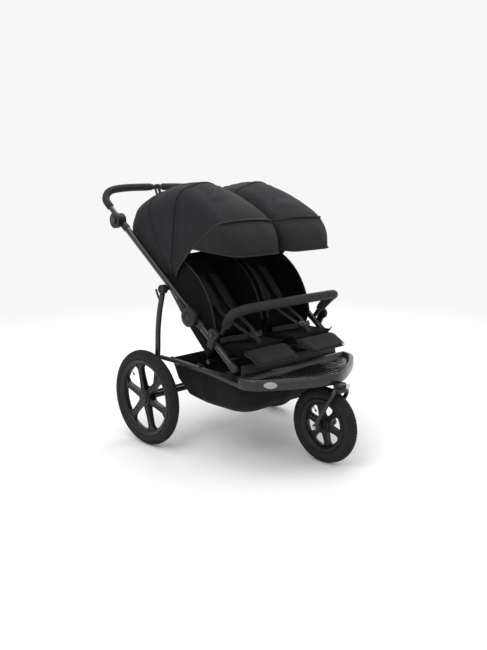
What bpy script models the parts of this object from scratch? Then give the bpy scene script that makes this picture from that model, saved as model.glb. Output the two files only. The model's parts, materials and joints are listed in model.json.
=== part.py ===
"""Side-by-side double jogging stroller, as an assembly of separate pieces with real joints.

Metres, +Z up. The stroller faces -Y, +X is the child's left-hand side, and the rear axle is the
datum: every piece is laid out from the rear axle line, under one empty that moves the whole
assembly so that the middle of its footprint is the origin.
"""
import math

import bmesh
import bpy
from mathutils import Matrix, Vector

# ---------------------------------------------------------------- driving dimensions (metres)
REAR_AXLE_Y = 0.2112            # rear axle behind the middle of the footprint
GAP = 0.0004                    # clearance between faces that meet
RUNNING = 0.0015                # clearance beside a piece that turns or slides

REAR_WHEEL_R = 0.206
REAR_TYRE_SECTION = 0.0245
REAR_WHEEL_X = 0.381            # half of the rear track
FRONT_WHEEL_R = 0.157
FRONT_TYRE_SECTION = 0.029
WHEELBASE = 0.670
TRAIL = 0.074                   # steering axis ahead of the front axle
AXLE_PIN_R = 0.006

TUBE_R = 0.0135                 # side tubes
TUBE_X = 0.310                  # side tube plane
TUBE_RISE = math.radians(36.9)  # slope of the side tubes
LEG_R = 0.0115
LEG_X = 0.3365
SMALL_TUBE_R = 0.010

FOLD_Y, FOLD_Z = -0.235, 0.582  # fold pivot, on the side tube's line
FOLD_DISC_R = 0.041
TUBE_FOOT_REACH = 0.306         # fold pivot to the side tube's lower end
HUB_REACH = 0.606               # fold pivot to the handle hub, along the tube
HUB_R = 0.031
TUBE_END_GAP = 0.031            # tube ends stop this far from a pivot

SEAT_X = 0.152                  # middle of each seat
SEAT_HALF_WIDTH = 0.138
BACK_HALF_WIDTH = 0.124
SEAT_FRONT_Y = -0.472
SEAT_Z = 0.478                  # seat surface
SEAT_THICKNESS = 0.034
LEG_HINGE_DROP = 0.024          # leg rest hinge below the seat surface, behind the pad's lower edge
CREASE_Y = -0.335               # where seat and backrest meet, the recline axis
BACK_LENGTH = 0.455
BACK_ANGLE = math.radians(47.5)
BACK_THICKNESS = 0.062

HOOD_RADIUS = 0.440             # pivot to crown, outermost panel
HOOD_HALF_WIDTH = 0.1410
HOOD_STEP = 0.0042              # each panel nests this far inside the one behind it
HOOD_SKIN = 0.0024

BASKET_TOP_Z = 0.362
BASKET_DEPTH = 0.190

FOOTREST_TOP_Z = 0.380
FOOTREST_DEPTH = 0.044
FOOTREST_WALL = 0.004
FOOTREST_HALF_WIDTH = 0.322
FOOTREST_NOSE_Y = -0.730
FOOTREST_REAR_Y = -0.500

GRIP_R = 0.0160
HANDLE_TUBE_R = 0.0115
BUMPER_R = 0.0180
BUMPER_TUBE_R = 0.0095

# ---------------------------------------------------------------- colours and finishes
FINISHES = {
    "frame_paint": ((0.030, 0.030, 0.029), 0.38, 0.60),
    "plastic_black": ((0.020, 0.020, 0.021), 0.50, 0.0),
    "plastic_satin": ((0.028, 0.028, 0.030), 0.30, 0.0),
    "tyre_rubber": ((0.021, 0.020, 0.019), 0.75, 0.0),
    "rim_plastic": ((0.016, 0.016, 0.016), 0.42, 0.0),
    "foam": ((0.024, 0.024, 0.025), 0.80, 0.0),
    "fabric_black": ((0.012, 0.012, 0.014), 0.90, 0.0),
    "fabric_hood": ((0.030, 0.030, 0.035), 0.88, 0.0),
    "steel": ((0.60, 0.60, 0.62), 0.25, 1.0),
}

SIDES = (("right", -1), ("left", 1))

# ---------------------------------------------------------------- scene and object helpers
for old in list(bpy.data.objects):
    bpy.data.objects.remove(old, do_unlink=True)

parts = bpy.data.collections.new("jogging_stroller")
cutters = bpy.data.collections.new("cutters")
bpy.context.scene.collection.children.link(parts)
bpy.context.scene.collection.children.link(cutters)


def finish_material(finish):
    """Return the material of a finish, made once."""
    found = bpy.data.materials.get(finish)
    if found:
        return found
    colour, roughness, metallic = FINISHES[finish]
    made = bpy.data.materials.new(finish)
    made.use_nodes = True
    shader = made.node_tree.nodes["Principled BSDF"]
    shader.inputs["Base Color"].default_value = (*colour, 1.0)
    shader.inputs["Roughness"].default_value = roughness
    shader.inputs["Metallic"].default_value = metallic
    made.diffuse_color = (*colour, 1.0)
    return made


def empty(name, location, parent=None):
    """Return an empty, the pivot that the pieces of a moving body hang on."""
    made = bpy.data.objects.new(name, None)
    made.empty_display_size = 0.03
    made.location = location
    made.parent = parent
    parts.objects.link(made)
    return made


datum = empty("rear_axle_datum", (0.0, REAR_AXLE_Y, 0.0))


def pivot(name, y, z, x=0.0):
    """Return the empty of a joint at a place given from the rear axle datum."""
    return empty(name, (x, y, z), datum)


def place_of(pivot_empty):
    """Return where an empty stands, measured from the datum."""
    place = Vector()
    while pivot_empty is not None and pivot_empty is not datum:
        place += Vector(pivot_empty.location)
        pivot_empty = pivot_empty.parent
    return place


def hang(made, finish, parent):
    """Give an object that was built in datum coordinates its finish and its parent."""
    made.data.materials.append(finish_material(finish))
    parts.objects.link(made)
    made.parent = parent or datum
    made.matrix_parent_inverse = Matrix.Translation(-place_of(made.parent))
    return made


def mesh_piece(name, bm, finish, parent=None):
    """Turn a bmesh in datum coordinates into a piece."""
    bmesh.ops.recalc_face_normals(bm, faces=bm.faces)
    mesh = bpy.data.meshes.new(name)
    bm.to_mesh(mesh)
    bm.free()
    mesh.shade_smooth()
    mesh.set_sharp_from_angle(angle=math.radians(35))
    return hang(bpy.data.objects.new(name, mesh), finish, parent)


def add_cylinder(bm, start, end, radius, end_radius=None, sides=20):
    """Add a capped cylinder or cone between two points."""
    start, end = Vector(start), Vector(end)
    turn = (end - start).to_track_quat("Z", "Y").to_matrix().to_4x4()
    place = Matrix.Translation((start + end) / 2) @ turn
    bmesh.ops.create_cone(bm, cap_ends=True, segments=sides, radius1=radius,
                          radius2=radius if end_radius is None else end_radius,
                          depth=(end - start).length, matrix=place)


def rod(name, start, end, radius, finish, parent=None, sides=20):
    """Return a straight round bar or tube."""
    bm = bmesh.new()
    add_cylinder(bm, start, end, radius, sides=sides)
    return mesh_piece(name, bm, finish, parent)


def add_stepped_rod(bm, y, z, stations, sides=20):
    """Add a bar along X whose radius changes in steps: stations are (x, radius) pairs."""
    loft(bm, [[(x, y + radius * math.cos(turn), z + radius * math.sin(turn))
               for turn in (2 * math.pi * step / sides for step in range(sides))] for x, radius in stations])


def combine(made, name, bm, operation="UNION"):
    """Join a second closed shape to a piece, or cut it away, with a Boolean."""
    bmesh.ops.recalc_face_normals(bm, faces=bm.faces)
    mesh = bpy.data.meshes.new(name)
    bm.to_mesh(mesh)
    bm.free()
    other = bpy.data.objects.new(name, mesh)
    cutters.objects.link(other)
    other.parent = made.parent
    other.matrix_parent_inverse = made.matrix_parent_inverse.copy()
    other.hide_render = True
    other.display_type = "WIRE"
    joint = made.modifiers.new(name, "BOOLEAN")
    joint.operation = operation
    joint.object = other


def add_box(bm, centre, size, tilt=0.0):
    """Add a box, tilted about X."""
    place = Matrix.Translation(centre) @ Matrix.Rotation(tilt, 4, "X") @ Matrix.Diagonal((*size, 1.0))
    bmesh.ops.create_cube(bm, size=1.0, matrix=place)


def rounded_box(name, centre, size, finish, parent=None, tilt=0.0, edge=0.004, segments=2):
    """Return a box with rounded edges."""
    bm = bmesh.new()
    add_box(bm, centre, size, tilt)
    bmesh.ops.bevel(bm, geom=bm.edges[:], offset=edge, segments=segments, affect="EDGES", profile=0.5)
    return mesh_piece(name, bm, finish, parent)


def smooth_path(stations, per_span=5):
    """Return points of a Catmull-Rom curve through the stations."""
    stations = [Vector(p) for p in stations]
    padded = [2 * stations[0] - stations[1], *stations, 2 * stations[-1] - stations[-2]]
    points = []
    for before, here, there, after in zip(padded, padded[1:], padded[2:], padded[3:]):
        for step in range(per_span):
            t = step / per_span
            points.append(0.5 * (2 * here + (there - before) * t
                                 + (2 * before - 5 * here + 4 * there - after) * t ** 2
                                 + (3 * here - before - 3 * there + after) * t ** 3))
    points.append(stations[-1])
    return points


def bent_tube(name, points, radius, finish, parent=None, resolution=4):
    """Return a bent round tube along points."""
    curve = bpy.data.curves.new(name, "CURVE")
    curve.dimensions = "3D"
    curve.bevel_depth = radius
    curve.bevel_resolution = resolution
    curve.use_fill_caps = True
    spline = curve.splines.new("POLY")
    spline.points.add(len(points) - 1)
    for knot, place in zip(spline.points, points):
        knot.co = (*place, 1.0)
    return hang(bpy.data.objects.new(name, curve), finish, parent)


def loft(bm, rings, cap_ends=True, closed=False):
    """Join rings of equal length into a skin, capped at both ends or closed on itself."""
    rows = [[bm.verts.new(p) for p in ring] for ring in rings]
    pairs = list(zip(rows, rows[1:])) + ([(rows[-1], rows[0])] if closed else [])
    for low, high in pairs:
        for i in range(len(low)):
            j = (i + 1) % len(low)
            bm.faces.new((low[i], low[j], high[j], high[i]))
    if cap_ends and not closed:
        bm.faces.new(rows[0][::-1])
        bm.faces.new(rows[-1])


def add_sleeve(bm, points, inner_r, outer_r, sides=12):
    """Add a hollow sleeve that follows points, as a foam grip follows its tube."""
    across = None
    outer, inner = [], []
    for index, point in enumerate(points):
        tangent = (points[min(index + 1, len(points) - 1)] - points[max(index - 1, 0)]).normalized()
        across = tangent.orthogonal() if across is None else across - tangent * across.dot(tangent)
        across.normalize()
        over = tangent.cross(across)
        for rings, radius in ((outer, outer_r), (inner, inner_r)):
            rings.append([point + radius * (across * math.cos(turn) + over * math.sin(turn))
                          for turn in (2 * math.pi * step / sides for step in range(sides))])
    loft(bm, outer + inner[::-1], closed=True)


def lofted(name, rings, finish, parent=None):
    """Return a closed body lofted through rings."""
    bm = bmesh.new()
    loft(bm, rings)
    return mesh_piece(name, bm, finish, parent)


def mirrored(points):
    """Return points reflected to the other side of the stroller."""
    return [(-x, y, z) for x, y, z in points]


def along_tube(reach, offset=0.0):
    """Return y, z at a reach from the fold pivot up the side tube, and an offset above it."""
    return (FOLD_Y + reach * math.cos(TUBE_RISE) - offset * math.sin(TUBE_RISE),
            FOLD_Z + reach * math.sin(TUBE_RISE) + offset * math.cos(TUBE_RISE))


# ---------------------------------------------------------------- places worked out from the above
HUB_Y, HUB_Z = along_tube(HUB_REACH)
LEG_TOP_REACH = 0.188
HOOD_Y, HOOD_Z = along_tube(LEG_TOP_REACH, -(TUBE_R + 0.009))
STEER_Y = -(WHEELBASE + TRAIL)
RECLINE_Z = SEAT_Z - 0.003
OUTBOARD = TUBE_X + TUBE_R + GAP * 2


# ---------------------------------------------------------------- wheels
def wheel_profile(rim_r, half_width, hub_r, hub_half, bore_r, web_half):
    """Return a wheel's half section as (radius, along) pairs, down its outer side first."""
    return [(rim_r, half_width), (rim_r, half_width * 0.9), (rim_r - 0.008, half_width * 0.55),
            (rim_r - 0.008, -half_width * 0.55), (rim_r, -half_width * 0.9), (rim_r, -half_width),
            (rim_r - 0.014, -half_width), (rim_r - 0.022, -web_half), (hub_r + 0.002, -web_half),
            (hub_r, -hub_half), (bore_r, -hub_half), (bore_r, hub_half), (hub_r, hub_half),
            (hub_r + 0.002, web_half), (rim_r - 0.022, web_half), (rim_r - 0.014, half_width)]


def window_outline(inner_r, outer_r, middle, half_angle, spoke_half, arc_steps=4):
    """Return the outline of one opening between two spokes, as radius and angle turned to a plane."""
    outline = []
    for radius, direction in ((inner_r, 1), (outer_r, -1)):
        spread = half_angle - math.asin(spoke_half / radius)
        for step in range(arc_steps):
            angle = middle + direction * spread * (2 * step / (arc_steps - 1) - 1)
            outline.append((radius * math.cos(angle), radius * math.sin(angle)))
    return outline


def wheel(label, radius, section, spin, hub_half, spokes=6, steps=28):
    """Make a moulded spoked wheel and its tyre, both turned about the wheel's axle."""
    seat_r = radius - 2 * section
    half_width = section * 0.80
    rim_r = radius - section - math.sqrt(section ** 2 - (half_width * 0.86) ** 2) - 0.0006
    profile = wheel_profile(min(rim_r, seat_r + 0.0085), half_width, 0.034, hub_half,
                            AXLE_PIN_R + 0.0006, 0.0085)
    bm = bmesh.new()
    ring = [bm.verts.new((r, 0.0, z)) for r, z in profile]
    for a, b in zip(ring, ring[1:] + ring[:1]):
        bm.edges.new((a, b))
    mesh = bpy.data.meshes.new(f"{label}_wheel")
    bm.to_mesh(mesh)
    bm.free()
    made = hang(bpy.data.objects.new(f"{label}_wheel", mesh), "rim_plastic", spin)
    turn = made.modifiers.new("turn", "SCREW")
    turn.axis = "Z"
    turn.steps = turn.render_steps = steps
    turn.use_merge_vertices = True
    turn.merge_threshold = 0.0001
    made.matrix_parent_inverse = Matrix.Identity(4)
    made.rotation_euler = (0.0, math.pi / 2, 0.0)
    windows = bmesh.new()
    for index in range(spokes):
        outline = window_outline(0.046, rim_r - 0.022, 2 * math.pi * (index + 0.5) / spokes,
                                 math.pi / spokes, 0.0115)
        loft(windows, [[(x, y, z) for x, y in outline] for z in (-0.03, 0.03)])
    bmesh.ops.recalc_face_normals(windows, faces=windows.faces)
    window_mesh = bpy.data.meshes.new(f"{label}_windows")
    windows.to_mesh(window_mesh)
    windows.free()
    window = bpy.data.objects.new(f"{label}_windows", window_mesh)
    cutters.objects.link(window)
    window.parent = made.parent
    window.rotation_euler = made.rotation_euler
    window.hide_render = True
    window.display_type = "WIRE"
    cut = made.modifiers.new("windows", "BOOLEAN")
    cut.operation = "DIFFERENCE"
    cut.object = window

    bpy.ops.mesh.primitive_torus_add(major_segments=steps + 4, minor_segments=8,
                                     major_radius=radius - section, minor_radius=section,
                                     rotation=(0.0, math.pi / 2, 0.0))
    tyre = bpy.context.active_object
    for home in list(tyre.users_collection):
        home.objects.unlink(tyre)
    tyre.name = f"{label}_tyre"
    tyre.data.materials.append(finish_material("tyre_rubber"))
    tyre.data.shade_smooth()
    parts.objects.link(tyre)
    tyre.parent = spin


HUB_HALF = 0.0235
for side, sign in SIDES:
    spin = pivot(f"rear_{side}_spin", 0.0, REAR_WHEEL_R, sign * REAR_WHEEL_X)
    wheel(f"rear_{side}", REAR_WHEEL_R, REAR_TYRE_SECTION, spin, HUB_HALF)

swivel = pivot("fork_swivel", STEER_Y, 0.30)
front_spin = empty("front_spin", (0.0, TRAIL, FRONT_WHEEL_R - 0.30), swivel)
wheel("front", FRONT_WHEEL_R, FRONT_TYRE_SECTION, front_spin, 0.030)

# ---------------------------------------------------------------- front fork and its swivel
BLADE_X = 0.050
BLADE_R = 0.0088
HEAD_R = 0.027
CROWN_Z = FRONT_WHEEL_R * 2 + 0.004
HEAD_BOTTOM_Z = CROWN_Z + BLADE_R + RUNNING
HEAD_TOP_Z = HEAD_BOTTOM_Z + 0.014


def fork_route():
    """Return the fork's one bent tube, from one axle end over the crown to the other."""
    half = [(BLADE_X, -WHEELBASE, FRONT_WHEEL_R - 0.012), (BLADE_X, -WHEELBASE - 0.006, FRONT_WHEEL_R + 0.02),
            (BLADE_X, -WHEELBASE - 0.040, FRONT_WHEEL_R + 0.085),
            (BLADE_X - 0.001, STEER_Y + 0.006, FRONT_WHEEL_R + 0.133),
            (BLADE_X - 0.016, STEER_Y, CROWN_Z - 0.002)]
    return smooth_path(mirrored(half) + [(0.0, STEER_Y, CROWN_Z)] + half[::-1], 3)


bent_tube("front_fork", fork_route(), BLADE_R, "frame_paint", swivel, 2)
rod("front_axle", (-(BLADE_X - BLADE_R - GAP), -WHEELBASE, FRONT_WHEEL_R),
    (BLADE_X - BLADE_R - GAP, -WHEELBASE, FRONT_WHEEL_R), AXLE_PIN_R, "steel", swivel)
rod("swivel_head", (0, STEER_Y, HEAD_BOTTOM_Z), (0, STEER_Y, HEAD_TOP_Z), HEAD_R, "plastic_black", sides=24)
lock_slide = pivot("swivel_lock_slide", STEER_Y - 0.037, HEAD_BOTTOM_Z)
rod("swivel_lock_knob", (0, STEER_Y - 0.0365, HEAD_BOTTOM_Z + GAP),
    (0, STEER_Y - 0.0365, HEAD_TOP_Z + 0.008), 0.0085, "steel", lock_slide, sides=16)

# ---------------------------------------------------------------- lower frame, legs and axle
RAIL_Z = 0.374
YOKE_Z = HEAD_BOTTOM_Z + SMALL_TUBE_R + 0.002


def lower_frame_route():
    """Return the bent tube that runs from leg to leg round the front under the footrest."""
    half = [(TUBE_X, -0.018, RAIL_Z), (TUBE_X, -0.18, RAIL_Z - 0.002),
            (TUBE_X - 0.001, -0.34, RAIL_Z - 0.012),
            (TUBE_X - 0.010, -0.46, YOKE_Z + 0.004), (TUBE_X - 0.020, -0.52, YOKE_Z),
            (TUBE_X - 0.062, -0.580, YOKE_Z), (0.150, -0.640, YOKE_Z), (0.070, -0.684, YOKE_Z)]
    front = (0.0, STEER_Y + HEAD_R + SMALL_TUBE_R + GAP, YOKE_Z)
    return smooth_path(half + [front] + mirrored(half[::-1]), 2)


bent_tube("lower_frame", lower_frame_route(), SMALL_TUBE_R, "frame_paint", None, 2)
AXLE_TUBE_R = 0.0125
AXLE_SHOULDER_X = LEG_X + LEG_R
AXLE_END_X = REAR_WHEEL_X + HUB_HALF - 0.004
bm = bmesh.new()
add_stepped_rod(bm, 0.0, REAR_WHEEL_R,
                [(-AXLE_END_X, AXLE_PIN_R), (-AXLE_SHOULDER_X, AXLE_PIN_R), (-AXLE_SHOULDER_X, AXLE_TUBE_R),
                 (AXLE_SHOULDER_X, AXLE_TUBE_R), (AXLE_SHOULDER_X, AXLE_PIN_R), (AXLE_END_X, AXLE_PIN_R)])
mesh_piece("rear_axle", bm, "frame_paint")

for side, sign in SIDES:
    x = sign * LEG_X
    leg = [(x, 0.0, REAR_WHEEL_R + AXLE_TUBE_R + GAP), (x, -0.015, 0.30), (x, -0.028, 0.40),
           (x, -0.034, 0.50), (x, -0.047, 0.580), (x, HOOD_Y + 0.010, HOOD_Z - 0.045),
           (x, HOOD_Y + 0.003, HOOD_Z - 0.0198)]
    bent_tube(f"rear_leg_{side}", smooth_path(leg, 2), LEG_R, "frame_paint", None, 3)
    tube = sign * TUBE_X
    rod(f"front_tube_{side}", (tube, *along_tube(-TUBE_FOOT_REACH)), (tube, *along_tube(-TUBE_END_GAP)),
        TUBE_R, "frame_paint", sides=24)
    rod(f"fold_hub_{side}", (sign * OUTBOARD, FOLD_Y, FOLD_Z), (sign * (OUTBOARD + 0.018), FOLD_Y, FOLD_Z),
        FOLD_DISC_R, "plastic_black", sides=32)
# ---------------------------------------------------------------- footrest and calf panel
def footrest_outline(inset):
    """Return half of the footrest's plan, from its rear corner round to the middle of its nose."""
    corners = [(FOOTREST_HALF_WIDTH, FOOTREST_REAR_Y), (FOOTREST_HALF_WIDTH, -0.538),
               (FOOTREST_HALF_WIDTH - 0.024, -0.582), (0.215, -0.640), (0.110, -0.697), (0.045, -0.723),
               (0.0, FOOTREST_NOSE_Y)]
    scale = 1 - inset / FOOTREST_HALF_WIDTH
    return [(x * scale, y + (inset if i else -inset)) for i, (x, y) in enumerate(corners)]


def footrest_ring(inset, z, z_rear=None):
    """Return a closed ring of the footrest at a height, its rear edge optionally at another."""
    half = footrest_outline(inset)
    full = half + [(-x, y) for x, y in half[-2::-1]]
    rear = full[0][1]
    span = rear - full[len(half) - 1][1]
    return [(x, y, z + ((z_rear or z) - z) * max(0.0, 1 - (rear - y) / span)) for x, y in full]


bottom = FOOTREST_TOP_Z - FOOTREST_DEPTH
tray = lofted("footrest_tray",
              [footrest_ring(0.016, HEAD_TOP_Z + 0.0100), footrest_ring(0.010, HEAD_TOP_Z + 0.0095),
               footrest_ring(0.005, bottom + 0.002), footrest_ring(0.002, bottom),
               footrest_ring(0.0, bottom + 0.012), footrest_ring(0.003, FOOTREST_TOP_Z - 0.004),
               footrest_ring(0.008, FOOTREST_TOP_Z), footrest_ring(0.014, FOOTREST_TOP_Z - 0.002),
               footrest_ring(0.024, HEAD_TOP_Z + 0.0100 + FOOTREST_WALL)], "plastic_satin")
notch = bmesh.new()
add_cylinder(notch, (0, STEER_Y, HEAD_BOTTOM_Z - 0.02), (0, STEER_Y, HEAD_TOP_Z + RUNNING), HEAD_R + 0.003,
             sides=24)
combine(tray, "head_notch", notch, "DIFFERENCE")
opening = bmesh.new()
add_box(opening, (0, FOOTREST_REAR_Y, bottom),
        (2 * TUBE_X - 0.002, 0.024, 2 * (HEAD_TOP_Z + 0.0112 - bottom)))
combine(tray, "frame_opening", opening, "DIFFERENCE")
PANEL_HALF_WIDTH = 0.290
bm = bmesh.new()
add_box(bm, (0, FOOTREST_REAR_Y + 0.0135, 0.392), (2 * PANEL_HALF_WIDTH, 0.006, 0.052), math.radians(-10))
bmesh.ops.bevel(bm, geom=bm.edges[:], offset=0.003, segments=2, affect="EDGES")
mesh_piece("calf_panel", bm, "plastic_black")

# ---------------------------------------------------------------- seats
CROSSBAR_REACH = TUBE_X - TUBE_R - GAP
for label, y, z in (("front", -0.420, 0.431), ("rear", -0.300, 0.400)):
    rod(f"seat_{label}_crossbar", (-CROSSBAR_REACH, y, z), (CROSSBAR_REACH, y, z), SMALL_TUBE_R,
        "frame_paint", sides=16)


def pad_ring(centre_x, half_width, low, high, inset, corner):
    """Return a rectangle with cut corners between two (y, z) edges, drawn in by an inset."""
    along = (high - low).normalized()
    reach = half_width - inset
    near, far = low + along * inset, high - along * inset
    ring = []
    for end, inwards, order in ((near, along, 1), (far, -along, -1)):
        side_points = [(-reach, end + inwards * corner), (-(reach - corner), end),
                       (reach - corner, end), (reach, end + inwards * corner)]
        ring += [(centre_x + x, p.x, p.y) for x, p in side_points[::order]]
    return ring


def pad_rings(centre_x, half_width, low, high, thickness, edge=0.010):
    """Return the rings of a soft pad whose face runs between two (y, z) edges, thick below it."""
    low, high = Vector(low), Vector(high)
    run = (high - low).normalized()
    up = Vector((-run.y, run.x))
    if up.y < 0:
        up = -up
    layers = ((thickness, edge), (thickness - edge * 0.6, 0.0), (edge * 0.6, 0.0), (0.0, edge))
    return [pad_ring(centre_x, half_width, low - up * depth, high - up * depth, inset, edge * 1.8)
            for depth, inset in layers]


BACK_UP = Vector((math.cos(BACK_ANGLE), math.sin(BACK_ANGLE)))
BACK_EDGE = 0.014
LEG_REST_HALF_WIDTH = 0.126
LEG_REST_THICKNESS = 0.017
LEG_REST_EDGE = 0.006
for side, sign in SIDES:
    middle = sign * SEAT_X
    lofted(f"seat_base_{side}",
           pad_rings(middle, SEAT_HALF_WIDTH, (SEAT_FRONT_Y, SEAT_Z), (CREASE_Y - 0.002, SEAT_Z - 0.004),
                     SEAT_THICKNESS), "fabric_black")
    recline = pivot(f"backrest_{side}_recline", CREASE_Y, RECLINE_Z, middle)
    foot = Vector((CREASE_Y, RECLINE_Z)) + BACK_UP * 0.026
    head = Vector((CREASE_Y, RECLINE_Z)) + BACK_UP * (0.026 + BACK_LENGTH)
    lofted(f"backrest_{side}",
           pad_rings(middle, BACK_HALF_WIDTH, foot, head, BACK_THICKNESS, BACK_EDGE), "fabric_black", recline)
    leg_pivot = pivot(f"leg_rest_{side}_tilt", SEAT_FRONT_Y - 0.003, SEAT_Z - LEG_HINGE_DROP, middle)
    lofted(f"leg_rest_{side}",
           pad_rings(middle, LEG_REST_HALF_WIDTH, (SEAT_FRONT_Y - 0.098, SEAT_Z - 0.047),
                     (SEAT_FRONT_Y - 0.007, SEAT_Z - 0.004), LEG_REST_THICKNESS, LEG_REST_EDGE),
           "fabric_hood", leg_pivot)

# ---------------------------------------------------------------- hoods
# each panel: name, first and last angle, steps of nesting inside the front panel, corner radius
PANELS = (("rear", 36.0, 63.0, 2, 0.115), ("middle", 61.0, 101.0, 1, 0.095), ("front", 99.0, 138.0, 0, 0.070))
VISOR_START, VISOR_END = 138.4, 155.0
VISOR_HEM_RISE = 0.160          # hem above the hood pivot
PANEL_ROOT_R = 0.060
CROWN_DROP = 0.016


def hood_section(outer_r, half_width, corner, start_r, inner=0.0):
    """Return half a hood's section as (across, radius): up the side wall, round, and over the crown."""
    reach = half_width - inner
    top = outer_r - inner - CROWN_DROP
    corner = corner - inner
    section = [(reach, min(start_r, top - corner - 0.002))]
    for step in range(5):
        angle = math.pi / 2 * step / 4
        section.append((reach - corner * (1 - math.cos(angle)), top - corner * (1 - math.sin(angle))))
    flat = reach - corner
    for share in (0.5, 0.0):
        section.append((flat * share, top + CROWN_DROP * (1 - share ** 2)))
    return section


def hood_ring(centre_x, angle, nest, corner, start_r):
    """Return one closed ring of a hood panel's skin in the plane at an angle about the pivot."""
    outer_r = HOOD_RADIUS - nest * HOOD_STEP
    half_width = HOOD_HALF_WIDTH - nest * HOOD_STEP
    half_out = hood_section(outer_r, half_width, corner, start_r)
    half_in = hood_section(outer_r, half_width, corner, start_r, HOOD_SKIN)
    loop = half_out + [(-x, r) for x, r in half_out[-2::-1]]
    loop += [(-x, r) for x, r in half_in[:-1]] + half_in[::-1]
    return [(centre_x + x, HOOD_Y + r * math.cos(angle), HOOD_Z + r * math.sin(angle)) for x, r in loop]


def hood_panel(name, centre_x, start, end, nest, corner, parent, hem=False):
    """Make one hood panel: a thin skin turned about the hood's pivot between two angles."""
    spans = max(2, round((end - start) / 8))
    rings = []
    for step in range(spans + 1):
        angle = math.radians(start + (end - start) * step / spans)
        root_r = VISOR_HEM_RISE / math.sin(angle) if hem else PANEL_ROOT_R
        rings.append(hood_ring(centre_x, angle, nest, corner, root_r))
    return lofted(name, rings, "fabric_hood", parent)


for side, sign in SIDES:
    middle = sign * SEAT_X
    hood_middle_pivot = pivot(f"hood_middle_{side}_fold", HOOD_Y, HOOD_Z, middle)
    hood_front_pivot = empty(f"hood_front_{side}_fold", (0.0, 0.0, 0.0), hood_middle_pivot)
    homes = {"rear": None, "middle": hood_middle_pivot, "front": hood_front_pivot}
    for panel, start, end, nest, corner in PANELS:
        hood_panel(f"hood_{panel}_{side}", middle, start, end, nest, corner, homes[panel])
    visor_angle = math.radians(VISOR_START)
    visor_place = (0.0, HOOD_RADIUS * math.cos(visor_angle), HOOD_RADIUS * math.sin(visor_angle))
    visor_pivot = empty(f"visor_{side}_flip", visor_place, hood_front_pivot)
    hood_panel(f"hood_visor_{side}", middle, VISOR_START, VISOR_END, 0, PANELS[-1][-1], visor_pivot, True)
HOOD_PIN_R = 0.0075
for side, sign in SIDES:
    bm = bmesh.new()
    add_stepped_rod(bm, HOOD_Y, HOOD_Z,
                    [(sign * (SEAT_X + HOOD_HALF_WIDTH + GAP), HOOD_PIN_R), (sign * OUTBOARD, HOOD_PIN_R),
                     (sign * OUTBOARD, 0.019), (sign * (OUTBOARD + 0.022), 0.019)])
    mesh_piece(f"hood_bracket_{side}", bm, "plastic_black")

# ---------------------------------------------------------------- upper frame and push handle
HUB_DEPTH = 0.020
HANDLE_BUTTON_R = 0.014
BUTTON_TRAVEL = 0.004


def cut_pocket(piece, name, face_x, sign, y, z, button_r):
    """Cut the pocket that a push button sinks into, in the outer face of a hub."""
    pocket = bmesh.new()
    add_cylinder(pocket, (face_x - sign * (BUTTON_TRAVEL + 0.0015), y, z), (face_x + sign * 0.01, y, z),
                 button_r + 0.0008, sides=24)
    combine(piece, name, pocket, "DIFFERENCE")


fold = pivot("frame_fold", FOLD_Y, FOLD_Z)
tilt = empty("handle_tilt", (0.0, HUB_Y - FOLD_Y, HUB_Z - FOLD_Z), fold)


def handle_route():
    """Return the push handle's bent tube from hub to hub."""
    half = [(TUBE_X, HUB_Y - 0.004, HUB_Z - 0.003), (TUBE_X, HUB_Y + 0.070, HUB_Z + 0.052),
            (TUBE_X - 0.008, HUB_Y + 0.118, HUB_Z + 0.090), (0.262, HUB_Y + 0.138, HUB_Z + 0.124),
            (0.170, HUB_Y + 0.138, HUB_Z + 0.137)]
    return half + [(0.0, HUB_Y + 0.136, HUB_Z + 0.139)] + mirrored(half[::-1])


route = smooth_path(handle_route(), 4)
bent_tube("push_handle", route, HANDLE_TUBE_R, "frame_paint", tilt, 3)
for side, sign in SIDES:
    tube = sign * TUBE_X
    outer = sign * OUTBOARD
    upper = rod(f"upper_tube_{side}", (tube, *along_tube(TUBE_END_GAP - 0.008)),
                (tube, *along_tube(HUB_REACH - TUBE_END_GAP)), TUBE_R, "frame_paint", fold, sides=24)
    barrel = bmesh.new()
    add_stepped_rod(barrel, FOLD_Y, FOLD_Z, [(sign * (TUBE_X - TUBE_R + 0.001), TUBE_END_GAP - 0.002),
                                             (sign * (TUBE_X + TUBE_R - 0.0005), TUBE_END_GAP - 0.002)], 24)
    combine(upper, f"fold_barrel_{side}", barrel)
    face_x = outer + sign * HUB_DEPTH
    hub = rod(f"handle_hub_{side}", (outer, HUB_Y, HUB_Z), (face_x, HUB_Y, HUB_Z), HUB_R + 0.003,
              "plastic_black", fold, 28)
    cut_pocket(hub, f"handle_pocket_{side}", face_x, sign, HUB_Y, HUB_Z, HANDLE_BUTTON_R)
    grip = bmesh.new()
    add_sleeve(grip, [p for p in route if p.x * sign > 0.018 and p.z > HUB_Z + 0.050],
               HANDLE_TUBE_R + 0.0010, GRIP_R)
    mesh_piece(f"handle_grip_{side}", grip, "foam", tilt)
    press = empty(f"handle_button_{side}_press", (face_x, HUB_Y - FOLD_Y, HUB_Z - FOLD_Z), fold)
    rod(f"handle_button_{side}", (outer + sign * (HUB_DEPTH - GAP), HUB_Y, HUB_Z),
        (outer + sign * (HUB_DEPTH + BUTTON_TRAVEL + 0.001), HUB_Y, HUB_Z), HANDLE_BUTTON_R, "plastic_satin",
        press, sides=24)
    catch_y, catch_z = along_tube(0.062)
    catch = empty(f"fold_lock_{side}_slide", (sign * OUTBOARD, catch_y - FOLD_Y, catch_z - FOLD_Z), fold)
    rounded_box(f"fold_lock_{side}", (sign * (OUTBOARD + 0.0065), *along_tube(0.072)), (0.0115, 0.052, 0.022),
                "plastic_black", catch, TUBE_RISE)

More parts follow.
